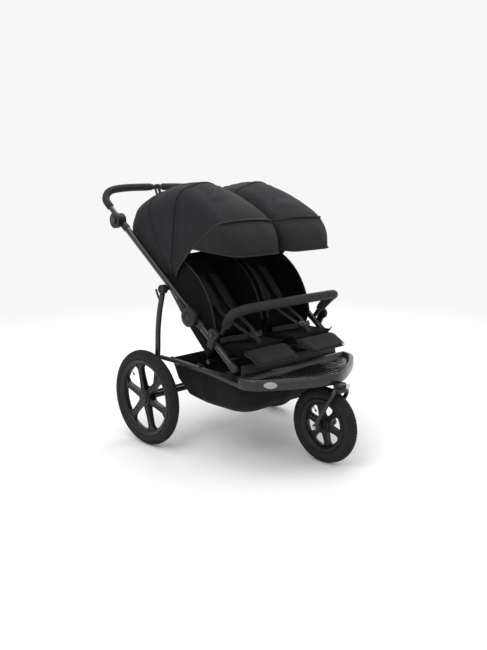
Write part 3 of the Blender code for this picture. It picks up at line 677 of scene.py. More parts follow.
# ---------------------------------------------------------------- wheels
@dataclass
class Wheel:
    """One wheel: air tyre with a block tread, moulded six-spoke rim, hub and its cap."""

    node: str
    body: str
    centre: Vector
    radius: float
    section: float
    outward: int
    hub_half: float
    toothed: bool
    spokes: int = 6
    tread_height: float = 0.0020
    tread_pitch: float = 0.0135
    tread_rows: tuple[float, ...] = (-62, -38, -13, 13, 38, 62)
    block_half_angle: float = math.radians(9.5)

    @property
    def rim_radius(self) -> float:
        """Return the radius of the rim's lip."""
        reach = self.section * 0.80 * 0.86
        return self.radius - self.section - math.sqrt(self.section ** 2 - reach ** 2) + 0.001

    def _on_tyre(self, turn: float, tilt: float, rise: float) -> Vector:
        """Return the point at a turn round the axle and a tilt round the tyre's section."""
        out = self.radius - self.section + rise * math.cos(tilt)
        return self.centre + Vector((rise * math.sin(tilt), out * math.cos(turn), out * math.sin(turn)))

    def tyre(self) -> None:
        """Make the tyre with its sidewall ridges and its tread."""
        bm = bmesh.new()
        base = self.section - self.tread_height
        profile = []
        for step in range(33):
            tilt = math.radians(-135 + 270 * step / 32)
            ridge = 0.0007 * (math.exp(-((abs(math.degrees(tilt)) - 92) / 4) ** 2)
                              + math.exp(-((abs(math.degrees(tilt)) - 112) / 4) ** 2))
            rise = base + ridge
            profile.append((self.radius - self.section + rise * math.cos(tilt), rise * math.sin(tilt)))
        for step in range(12, -1, -1):
            tilt = math.radians(-130 + 260 * step / 12)
            rise = base - 0.004
            profile.append((self.radius - self.section + rise * math.cos(tilt), rise * math.sin(tilt)))
        turned(bm, profile, self.centre, 96)
        count = round(TAU * self.radius / self.tread_pitch)
        for row, tilt_degrees in enumerate(self.tread_rows):
            tilt = math.radians(tilt_degrees)
            for index in range(count):
                turn = TAU * (index + 0.5 * (row % 2)) / count
                long = TAU / count * 0.34
                slant = 0.25 * long * math.copysign(1, tilt)
                corners = [(-1, -1), (1, -1), (1, 1), (-1, 1)]
                rings = []
                for rise, shrink in ((base - 0.0006, 1.08), (self.section, 0.86)):
                    rings.append([self._on_tyre(turn + a * long * shrink + b * slant,
                                                tilt + b * self.block_half_angle * shrink, rise)
                                  for a, b in corners])
                skin(bm, rings)
        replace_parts(piece(f"{self.node}_tyre_tread", bm, TYRE, self.body, 30), f"{self.node}_tyre")

    def _spoke_section(self, width: float, depth: float) -> list[tuple[float, float]]:
        """Return the section of a spoke, a bar with a shallow recess in each face.

        Args:
            width: The spoke's width.
            depth: Half of its thickness.

        Returns:
            The section's points.
        """
        half, edge, sink = width / 2, 0.0035, 0.0028
        one_face = [(-half, depth - 0.0012), (-half + 0.0012, depth), (-half + edge, depth),
                    (-half + edge + 0.0015, depth - sink), (half - edge - 0.0015, depth - sink),
                    (half - edge, depth), (half - 0.0012, depth), (half, depth - 0.0012)]
        return one_face + [(-a, -b) for a, b in one_face]

    def rim(self) -> None:
        """Make the rim, its spokes and the hub in one moulding."""
        bm = bmesh.new()
        lip, half = self.rim_radius, self.section * 0.80
        one_side = [(lip, half * 0.86), (lip + 0.0015, half * 0.95), (lip - 0.0010, half + 0.0008),
                    (lip - 0.0050, half), (lip - 0.0125, half * 0.86), (lip - 0.0190, half * 0.58),
                    (lip - 0.0215, half * 0.30)]
        bed = [(lip - 0.007, -half * 0.6), (lip - 0.007, half * 0.6)]
        profile = one_side + [(r, -a) for r, a in one_side[::-1]] + bed
        turned(bm, profile, self.centre, 84)
        inner, outer = 0.026, lip - 0.019
        for index in range(self.spokes):
            angle = TAU * (index + 0.25) / self.spokes
            radial = Vector((0, math.cos(angle), math.sin(angle)))
            across = Vector((0, -math.sin(angle), math.cos(angle)))
            rings = []
            for step in range(13):
                share = step / 12
                width = 0.0290 - 0.0065 * math.sin(math.pi * share) + 0.030 * ease(share, 0.80, 1.0)
                depth = 0.0135 - 0.0045 * share
                reach = inner + (outer - inner) * share
                rings.append([self.centre + radial * reach + across * a + Vector((b, 0, 0))
                              for a, b in self._spoke_section(width, depth)])
            skin(bm, rings)
        end = self.hub_half - 0.001
        barrel = [(0.008, end), (0.0225, end), (0.0240, end - 0.0015), (0.0260, 0.0165), (0.0345, 0.0145),
                  (0.0350, 0.0125)]
        turned(bm, barrel + [(r, -a) for r, a in barrel[::-1]], self.centre, 48)
        made = piece(f"{self.node}_moulded_wheel", bm, RIM, self.body, 34)
        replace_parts(made, f"{self.node}_wheel")

    def trim(self) -> None:
        """Make the hub caps, the toothed brake ring and the valve."""
        for label, way in (("outer", self.outward), ("inner", -self.outward)):
            bm = bmesh.new()
            at = self.centre + Vector((way * (self.hub_half - 0.0165), 0, 0))
            dome = [(0.0310, 0.0), (0.0325, 0.0020), (0.0318, 0.0052), (0.0285, 0.0070), (0.0262, 0.0064),
                    (0.0240, 0.0074), (0.0120, 0.0124), (0.0100, 0.0118), (0.0090, 0.0150), (0.0040, 0.0172),
                    (0.0004, 0.0175)]
            turned(bm, [(r, way * a) for r, a in dome], at, 40, closed=False)
            piece(f"{self.node}_hub_cap_{label}", bm, PLASTIC, self.body, 28)
        if self.toothed:
            bm = bmesh.new()
            teeth, rings = 24, []
            for along in (0.0155, 0.0195):
                ring = []
                for index in range(teeth * 4):
                    out = 0.0475 if index % 4 in (0, 1) else 0.0415
                    turn = TAU * (index + 0.5) / (teeth * 4)
                    ring.append(self.centre
                                + Vector((-self.outward * along, out * math.cos(turn), out * math.sin(turn))))
                rings.append(ring)
            skin(bm, rings)
            piece(f"{self.node}_brake_ring", bm, PLASTIC, self.body, 20)
        turn = TAU * (0.75 / self.spokes)
        radial = Vector((0, math.cos(turn), math.sin(turn)))
        for label, span, radius, finish in (("stem", (0.016, 0.040), 0.0028, STEEL),
                                            ("cap", (0.037, 0.047), 0.0036, PLASTIC)):
            ends = [self.centre + radial * (self.rim_radius - depth) for depth in span]
            tube(f"{self.node}_valve_{label}", ends, radius, finish, self.body, 12)

    def build(self) -> None:
        """Make every piece of the wheel."""
        self.tyre()
        self.rim()
        self.trim()
        log.info("%s wheel ready", self.node)


# ---------------------------------------------------------------- hoods
@dataclass
class Hood:
    """One folding hood: a canopy in two bays over its bows, seams, lining edge and visor."""

    side: str
    sign: int
    radius: float = 0.440
    reach: float = 0.1410
    flare: float = 0.0125
    crown_drop: float = 0.016
    bow_angle: float = 98.0
    across_steps: int = 56
    slack_from: float = 50.0
    slack_to: float = 138.0

    @property
    def slack_spans(self) -> tuple[tuple[float, float], ...]:
        """Return the angles between which the cloth hangs slack, before and after the middle bow."""
        return (self.slack_from, self.bow_angle), (self.bow_angle, self.slack_to)

    def crown_at(self, angle: float) -> Vector:
        """Return the crown's point on the frame's middle line at an angle in degrees."""
        turn = math.radians(angle)
        return place(0, HOOD_Y + self.radius * math.cos(turn), HOOD_Z + self.radius * math.sin(turn))

    @staticmethod
    def corner_at(angle: float) -> float:
        """Return the corner radius at an angle, nearly square at the front arch."""
        return float(np.interp(angle, (45, 70, 98, 122, 139), (0.115, 0.100, 0.080, 0.050, 0.026)))

    def front_angle(self, out: float) -> float:
        """Return the angle of the front arch at a distance from the hood's pivot line."""
        return 122.0 + 37.9 * out

    def rear_angle(self, out: float, crown: float) -> float:
        """Return the angle of the rear edge, lower down the sides than over the crown."""
        return 40.5 + 12.0 * crown + 8.0 * (1 - ease(out, 0.08, 0.25))

    def crown_radius(self, angle: float) -> float:
        """Return how far the crown is from the pivot line, less between the bows where it is slack.

        Args:
            angle: The angle about the pivot line in degrees.

        Returns:
            The distance.
        """
        rest = self.radius + 0.008 * (1 - ease(angle, 45, 75))
        rest -= 0.004 * math.sin(math.pi * ease(angle, self.slack_from, self.slack_to))
        for low, high in self.slack_spans:
            if low < angle < high:
                rest -= 0.0085 * math.sin(math.pi * (angle - low) / (high - low)) ** 1.5
        return rest

    def section(self, share: float, angle: float) -> tuple[float, float, float]:
        """Return the cloth's place across the hood.

        Args:
            share: 0 at the outboard foot, 1 at the inboard foot.
            angle: The angle about the pivot line in degrees.

        Returns:
            Across from the seat's middle, distance from the pivot line, and how much it is crown.
        """
        top = self.crown_radius(angle) - self.crown_drop
        foot = 0.062
        corner = self.corner_at(angle)
        wall = top - corner - foot
        arc = corner * math.pi / 2
        flat = 2 * (self.reach - corner)
        total = 2 * wall + 2 * arc + flat
        run = share * total
        mirror = 1
        if run > total / 2:
            run, mirror = total - run, -1
        if run < wall:
            across, out, crown = self.reach, foot + run, 0.0
        elif run < wall + arc:
            bend = (run - wall) / corner
            across = self.reach - corner * (1 - math.cos(bend))
            out = top - corner * (1 - math.sin(bend))
            crown = bend / (math.pi / 2) * 0.7
        else:
            across = self.reach - corner - (run - wall - arc)
            level = across / (self.reach - corner)
            out = top + self.crown_drop * (1 - level * level)
            crown = 0.7 + 0.3 * (1 - level * level)
        return across * mirror, out, crown

    def point(self, share: float, angle: float, lift: float = 0.0) -> Vector:
        """Return a point of the cloth.

        Args:
            share: 0 at the outboard foot, 1 at the inboard foot.
            angle: The angle about the pivot line in degrees.
            lift: How far outside the cloth it is.

        Returns:
            The point.
        """
        across, out, crown = self.section(share, angle)
        turn = math.radians(angle)
        above = out * math.cos(turn - math.radians(126.9))
        outboard = 1.0 if across > 0 else 0.15
        grown = across + math.copysign(self.flare * outboard * ease(above, 0.045, 0.11), across)
        slack = 0.0
        for low, high in self.slack_spans:
            if low < angle < high:
                slack = math.sin(math.pi * (angle - low) / (high - low))
        grown -= math.copysign(0.004 * slack * (1 - crown), across)
        crease = noise.noise(Vector((across * 9, angle * 0.16, self.sign * 3.0))) * 0.0030
        crease += noise.noise(Vector((across * 26, angle * 0.05, 7.0))) * 0.0016 * slack
        out += lift * (0.3 + 0.7 * crown) + crease * slack
        grown += math.copysign(lift * (1 - crown) + crease * slack * (1 - crown), across)
        return place(self.sign * (SEAT_X + grown), HOOD_Y + out * math.cos(turn),
                     HOOD_Z + out * math.sin(turn))

    def angle_of(self, share: float, bay_start: float, bay_end: float, along: float) -> float:
        """Return an angle within a bay whose ends may be the rear edge or the front arch.

        Args:
            share: The place across the hood.
            bay_start: The angle of the bay's rear end, or -1 for the canopy's rear edge.
            bay_end: The angle of its front end, or -1 for the front arch.
            along: 0 at the rear end, 1 at the front end.

        Returns:
            The angle in degrees.
        """
        _, out, crown = self.section(share, 100.0 if bay_end >= 0 else 130.0)
        start = self.rear_angle(out, crown) if bay_start < 0 else bay_start
        end = self.front_angle(out) if bay_end < 0 else bay_end
        return start + (end - start) * along

    def bay(self, name: str, start: float, end: float, steps: int, finish: Finish) -> bpy.types.Object:
        """Return one bay of the canopy, a single curved sheet.

        Args:
            name: The piece's name.
            start: Angle of its rear edge, or -1 for the canopy's own rear edge.
            end: Angle of its front edge, or -1 for the front arch.
            steps: Rows of faces from rear to front.
            finish: Its cloth.

        Returns:
            The sheet.
        """
        rings = []
        for row in range(steps + 1):
            shares = [i / self.across_steps for i in range(self.across_steps + 1)]
            rings.append([self.point(s, self.angle_of(s, start, end, row / steps)) for s in shares])
        bm = bmesh.new()
        skin(bm, rings, round_ring=False)
        made = piece(name, bm, finish, None, 180)
        thicken(made, 0.0016)
        return made

    def seam(self, name: str, angle: float, body: str, radius: float, lift: float = 0.0012) -> None:
        """Make the raised seam that covers a bow.

        Args:
            name: The piece's name.
            angle: The bow's angle in degrees, or -1 for the front arch.
            body: The body that it rides on.
            radius: Half of its width.
            lift: How far it stands off the cloth.
        """
        count = self.across_steps * 2
        points = [self.point(i / count, self.angle_of(i / count, angle, -1, 1.0 if angle < 0 else 0.0), lift)
                  for i in range(count + 1)]
        bm = bmesh.new()
        sweep(bm, points, lambda share: [(a, b * 0.7) for a, b in circle(radius, 10)])
        piece(name, bm, BINDING, body)

    def rear_seam(self) -> None:
        """Make the seam half way back to the rear edge, lying on the cloth."""
        count = self.across_steps * 2
        bm = bmesh.new()
        sweep(bm, [self.point(i / count, self.angle_of(i / count, -1, self.bow_angle, 0.45), 0.001)
                   for i in range(count + 1)], lambda share: [(a, b * 0.7) for a, b in circle(0.0030, 10)])
        made = piece(f"rear_seam_{self.side}", bm, BINDING, None)
        self.crown_at(62.0)
        self.crown_at(92.0)
        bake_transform(made)

    def visor_hem(self, share: float) -> Vector:
        """Return a point of the visor's hem.

        Args:
            share: 0 at one side, 1 at the other, by way of the front.

        Returns:
            The point.
        """
        across = math.cos(math.pi * share)
        blunt = math.copysign(abs(across) ** 0.26, across)
        depth = math.sin(math.pi * share) ** 0.42
        x = blunt * (self.reach + self.flare * (1.0 if across > 0 else 0.15) - 0.001)
        y = -0.226 - 0.216 * depth - 0.014 * math.sin(math.pi * share) ** 2
        z = 0.838 + 0.014 * (1 - depth) - 0.004 * math.sin(math.pi * share) ** 2
        return place(self.sign * (SEAT_X + x), y, z)

    def visor(self) -> None:
        """Make the stiff visor and its bound hem."""
        shares = [i / 72 for i in range(73)]
        low, high = 0.185, 0.815
        rings = []
        steps = 14
        for row in range(steps + 1):
            t = row / steps
            ring = []
            for share in shares:
                across_share = low + (high - low) * share
                arch = self.point(across_share, self.angle_of(across_share, -1, -1, 1.0) + 0.2, -0.0055)
                hem = self.visor_hem(share)
                fullness = math.sin(math.pi * min(1.0, t * 1.05)) * math.sin(math.pi * share)
                ring.append(arch.lerp(hem, t) + Vector((0, -0.020, 0.004)) * fullness)
            rings.append(ring)
        bm = bmesh.new()
        skin(bm, rings, round_ring=False)
        made = piece(f"visor_{self.side}_cloth", bm, VISOR_CLOTH, None, 180)
        thicken(made, 0.0024, 0.0)
        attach(made, f"visor_{self.side}")
        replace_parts(made, f"hood_visor_{self.side}")
        for label, t, radius in (("hem", 1.0, 0.0030), ("stitch", 0.86, 0.0010)):
            points = [rings[round(t * steps)][i] + Vector((0, -0.0012, 0)) for i in range(len(shares))]
            bm = bmesh.new()
            sweep(bm, points, lambda share, radius=radius: circle(radius, 8))
            piece(f"visor_{self.side}_{label}", bm, BINDING, f"visor_{self.side}")

    def build(self) -> None:
        """Make every piece of the hood."""
        front, middle = f"hood_front_{self.side}", f"hood_middle_{self.side}"
        self.seam(f"middle_seam_{self.side}", self.bow_angle, middle, 0.0042)
        self.seam(f"front_seam_{self.side}", -1, front, 0.0052)
        self.rear_seam()
        rear_bay = self.bay(f"canopy_rear_{self.side}", -1, self.bow_angle, 26, HOOD_CLOTH)
        front_bay = self.bay(f"canopy_front_{self.side}", self.bow_angle, -1, 26, HOOD_CLOTH)
        for made, node, bodies, span in ((rear_bay, f"hood_rear_{self.side}", ("root", middle), (62.0, 92.0)),
                                         (front_bay, front, (middle, front), (102.0, 132.0))):
            self.crown_at(span[0])
            self.crown_at(span[1])
            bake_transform(made)
            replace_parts(made, node)
        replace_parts(front_bay, middle)
        self.visor()
        log.info("hood %s ready", self.side)


# ---------------------------------------------------------------- seats
@dataclass
class Seat:
    """One seat: cushions, side wings, leg rest and harness."""

    side: str
    sign: int
    crease: tuple[float, float] = (-0.335, 0.475)
    back_angle: float = math.radians(47.5)
    back_half: float = 0.124
    back_length: float = 0.455
    leg_slope: float = math.radians(25.3)
    leg_foot: tuple[float, float] = (-0.5685, 0.4325)
    leg_length: float = 0.096
    leg_corner: float = 0.022
    leg_taper: float = 0.10
    shell_half: float = 0.134
    wing_x: float = 0.1335
    strap_x: float = 0.036
    channel_x: float = 0.078

    def on_leg(self, x: float, up: float, ahead: float, grow: float = 1.0) -> Vector:
        """Return a point of the leg rest, which narrows to its foot.

        Args:
            x: Across from its middle, before it narrows.
            up: Up the slope from its foot.
            ahead: Ahead of its face.
            grow: How far its outline is drawn in.

        Returns:
            The point.
        """
        c, s = math.cos(self.leg_slope), math.sin(self.leg_slope)
        taper = 1.0 - self.leg_taper * (1 - up / self.leg_length)
        return place(self.sign * SEAT_X + x * grow * taper, self.leg_foot[0] + up * c - ahead * s,
                     self.leg_foot[1] + up * s + ahead * c)

    def on_back(self, x: float, up: float, ahead: float = 0.0) -> Vector:
        """Return a point of the backrest's face: across, up from the crease, and ahead of the face."""
        c, s = math.cos(self.back_angle), math.sin(self.back_angle)
        return place(self.sign * SEAT_X + x, self.crease[0] + up * c - ahead * s,
                     self.crease[1] + up * s + ahead * c)

    def pad(self, name: str, rings: list[list[Vector]], finish: Finish, cap: float) -> bpy.types.Object:
        """Return a puffed pad.

        Args:
            name: The piece's name.
            rings: Rows of points that it is lofted through.
            finish: Its finish.
            cap: The furthest that the filling may push a point.

        Returns:
            The piece.
        """
        bm = bmesh.new()
        skin(bm, rings)
        made = piece(name, bm, finish, None, 180)
        inflate(made, cap)
        return made

    @staticmethod
    def plan(half: float, length: float, corner: float, power: int = 6) -> list[tuple[float, float]]:
        """Return a rounded rectangle.

        Args:
            half: It reaches across from minus this to this.
            length: It reaches along from 0 to this.
            corner: Its corners' radius.
            power: Faces in each corner.

        Returns:
            Its (across, along) points.
        """
        outline = []
        for cx, cy, start in ((half - corner, length - corner, 0), (-half + corner, length - corner, 90),
                              (-half + corner, corner, 180), (half - corner, corner, 270)):
            for step in range(power + 1):
                a = math.radians(start + 90 * step / power)
                outline.append((cx + corner * math.cos(a), cy + corner * math.sin(a)))
        return outline

    def cushions(self) -> None:
        """Make the seat, back and leg cushions."""
        layers = ((-0.054, 0.92), (-0.046, 0.985), (-0.020, 1.0), (-0.008, 0.985), (0.0, 0.90))
        rings = []
        for depth, grow in layers:
            rings.append([self.on_back(a * grow, 0.034 + (b - 0.22) * grow + 0.22, depth)
                          for a, b in self.plan(self.back_half - 0.006, self.back_length - 0.012, 0.045)])
        back = self.pad(f"back_cushion_{self.side}", rings, SEAT_CLOTH, 0.010)
        self.groove(back, self.channel, 0.0035)
        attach(back, f"backrest_{self.side}")
        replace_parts(back, f"backrest_{self.side}")
        rings = []
        for depth, grow in ((-0.032, 0.95), (-0.024, 1.0), (-0.010, 1.0), (-0.002, 0.93)):
            rings.append([place(self.sign * SEAT_X + a * grow, -0.466 + b, 0.477 + depth - 0.004 * b / 0.13)
                          for a, b in self.plan(0.130, 0.126, 0.028)])
        base = self.pad(f"seat_cushion_{self.side}", rings, SEAT_CLOTH, 0.006)
        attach(base, "root")
        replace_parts(base, f"seat_base_{self.side}")
        layers = ((-0.0155, 0.95), (-0.012, 1.0), (-0.005, 1.0), (-0.001, 0.95))
        plan = self.plan(0.122, self.leg_length, self.leg_corner)
        rings = [[self.on_leg(a, b, depth, grow) for a, b in plan] for depth, grow in layers]
        leg = self.pad(f"leg_pad_{self.side}", rings, PAD_CLOTH, 0.003)
        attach(leg, f"leg_rest_{self.side}")
        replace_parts(leg, f"leg_rest_{self.side}")
        bm = bmesh.new()
        edge = [self.on_leg(a, b, -0.008) for a, b in self.plan(0.1235, self.leg_length, self.leg_corner)]
        sweep(bm, edge + edge[:1], lambda share: circle(0.0022, 8))
        piece(f"leg_pad_{self.side}_piping", bm, BINDING, f"leg_rest_{self.side}")

    def channel(self, point: Vector) -> float:
        """Return how deep the sewn channels are.

        Args:
            point: A point of the backrest.

        Returns:
            0 away from them, 1 at their deepest.
        """
        x = point.x - self.sign * SEAT_X
        c, s = math.cos(self.back_angle), math.sin(self.back_angle)
        behind, above = point.y - AXLE_Y - self.crease[0], point.z - self.crease[1]
        up, ahead = behind * c + above * s, above * c - behind * s
        if ahead < -0.02:
            return 0.0
        lines = [abs(abs(x) - self.channel_x)]
        if abs(x) < self.channel_x:
            lines += [abs(up - 0.30), abs(up - 0.13)]
        return max(math.exp(-(d / 0.004) ** 2) for d in lines)

    def groove(self, made: bpy.types.Object, depth_at: Callable[[Vector], float], depth: float) -> None:
        """Press sewn channels into a cushion.

        Args:
            made: The cushion, which is changed.
            depth_at: Gives a point's share of the depth.
            depth: The channels' depth.
        """
        normals = [v.normal.copy() for v in made.data.vertices]
        for vertex, normal in zip(made.data.vertices, normals):
            vertex.co -= normal * depth * depth_at(vertex.co)
        made.data.update()

    def shell(self) -> None:
        """Make the cloth shell behind the backrest and the sling under the seat."""
        rings = []
        for step in range(21):
            t = step / 20
            up = -0.010 + 0.500 * t
            bulge = 0.064 + 0.044 * math.sin(math.pi * min(1.0, 0.12 + 0.80 * t)) ** 0.6
            ring = []
            for k in range(25):
                a = math.pi * k / 24
                x = self.shell_half * math.copysign(abs(math.cos(a)) ** 0.45, math.cos(a))
                behind = -bulge * math.sin(a) ** 0.5 - 0.012
                ring.append(self.on_back(x, up,
                                         behind + 0.0025 * noise.noise(Vector((x * 22, up * 18, 2.0)))))
            rings.append(ring)
        bm = bmesh.new()
        skin(bm, rings, round_ring=False)
        made = piece(f"back_shell_{self.side}", bm, SEAT_CLOTH, None, 180)
        thicken(made, 0.0022)
        self.on_back(0, 0.0, -0.05)
        self.on_back(0, 0.07, -0.05)
        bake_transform(made)
        middle = self.sign * SEAT_X
        rows = ((-0.472, 0.462), (-0.455, 0.446), (-0.40, 0.4435), (-0.345, 0.4430), (-0.318, 0.448),
                (-0.300, 0.462))
        bm = bmesh.new()
        skin(bm,
             [[place(middle + self.shell_half * (k / 8 - 1), y, z + 0.030 * (abs(k / 8 - 1)) ** 6)
               for k in range(17)]
              for y, z in rows], round_ring=False)
        sling = piece(f"seat_sling_{self.side}", bm, SEAT_CLOTH, None, 180)
        thicken(sling, 0.0022)
        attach(sling, "root")

    def wings(self) -> None:
        """Make the padded side walls between the seat and the backrest."""
        for label, across in (("outboard", self.wing_x), ("inboard", -self.wing_x)):
            x = self.sign * across
            rings = []
            for step in range(25):
                t = step / 24
                inner = self.on_back(x, 0.47 * t - 0.02 * (1 - t), -0.050 * (1 - ease(t, 0.0, 0.1)) - 0.030)
                outer_up = 0.05 + 0.40 * t
                ahead = 0.105 * math.sin(math.pi * min(1.0, 0.10 + 0.86 * t)) ** 0.7
                outer = self.on_back(x, outer_up, ahead)
                rings.append([inner.lerp(outer, k / 8)
                              + Vector((0.003 * math.sin(math.pi * k / 8) * self.sign, 0, 0))
                              for k in range(9)])
            bm = bmesh.new()
            skin(bm, rings, round_ring=False)
            made = piece(f"seat_wing_{self.side}_{label}", bm, SEAT_CLOTH, None, 180)
            thicken(made, 0.005, 0.0)
            self.on_back(x, 0.02, 0.06)
            self.on_back(x, 0.11, 0.0)
            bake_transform(made)
            rim_points = [ring[-1] for ring in rings]
            bm = bmesh.new()
            sweep(bm, rim_points, lambda share: circle(0.0034, 8))
            edge = piece(f"seat_wing_{self.side}_{label}_piping", bm, BINDING, None)
            self.on_back(x, 0.02, 0.06)
            self.on_back(x, 0.11, 0.0)
            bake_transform(edge)

    def harness(self) -> None:
        """Make the five-point harness, its shoulder pads and its buckle."""
        body = f"backrest_{self.side}"
        middle = self.sign * SEAT_X
        for label, way in (("right", -1), ("left", 1)):
            up_run = [self.on_back(way * self.strap_x, up, ahead) for up, ahead in
                      ((0.345, -0.012), (0.34, 0.014), (0.30, 0.017), (0.22, 0.018), (0.14, 0.022),
                       (0.10, 0.030))]
            strap(f"shoulder_strap_{self.side}_{label}", smooth_path(up_run, 5), 0.025, body)
            pad_run = [self.on_back(way * self.strap_x, up, ahead) for up, ahead in
                       ((0.325, 0.019), (0.27, 0.0215), (0.21, 0.0215), (0.165, 0.022))]
            bm = bmesh.new()
            flat = [(0.021 * math.copysign(abs(math.cos(a)) ** 0.5, math.cos(a)), 0.0048 * math.sin(a))
                    for a in (TAU * i / 20 for i in range(20))]
            sweep(bm, smooth_path(pad_run, 8),
                  lambda share: [(a, b * (0.55 + 0.45 * math.sin(math.pi * share) ** 0.3))
                                 for a, b in flat], Vector((1, 0, 0)))
            pad = piece(f"shoulder_pad_{self.side}_{label}", bm, PAD_CLOTH, body)
            waist = [place(middle + way * 0.120, -0.348, 0.492), place(middle + way * 0.09, -0.375, 0.500),
                     place(middle + way * 0.05, -0.398, 0.504), place(middle + way * 0.020, -0.408, 0.507)]
            strap(f"waist_strap_{self.side}_{label}", smooth_path(waist, 5), 0.022, "root",
                  across=Vector((0, 0.5, 1)))
            low = [self.on_back(way * self.strap_x, 0.10, 0.030), place(middle + way * 0.028, -0.372, 0.532),
                   place(middle + way * 0.016, -0.400, 0.516)]
            made = strap(f"lap_strap_{self.side}_{label}", smooth_path(low, 5), 0.023, None)
            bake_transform(made)
        crotch = [place(middle, -0.450, 0.480), place(middle, -0.446, 0.492), place(middle, -0.428, 0.502)]
        strap(f"crotch_strap_{self.side}", smooth_path(crotch, 5), 0.028, "root")
        bm = bmesh.new()
        block(bm, place(middle, -0.414, 0.508), (0.046, 0.034, 0.013), 0.005,
              Matrix.Rotation(math.radians(24), 4, "X"))
        piece(f"harness_buckle_{self.side}", bm, PLASTIC, "root")
        bm = bmesh.new()
        turned(bm, [(0.0002, 0.0), (0.0085, 0.0), (0.0085, 0.0022), (0.0072, 0.0034), (0.0002, 0.0034)],
               place(middle, -0.416, 0.5135), 24, axis=2, closed=False)
        piece(f"buckle_button_{self.side}", bm, SATIN, "root")

    def build(self) -> None:
        """Make every piece of the seat."""
        self.cushions()
        self.shell()
        self.wings()
        self.harness()
        log.info("seat %s ready", self.side)


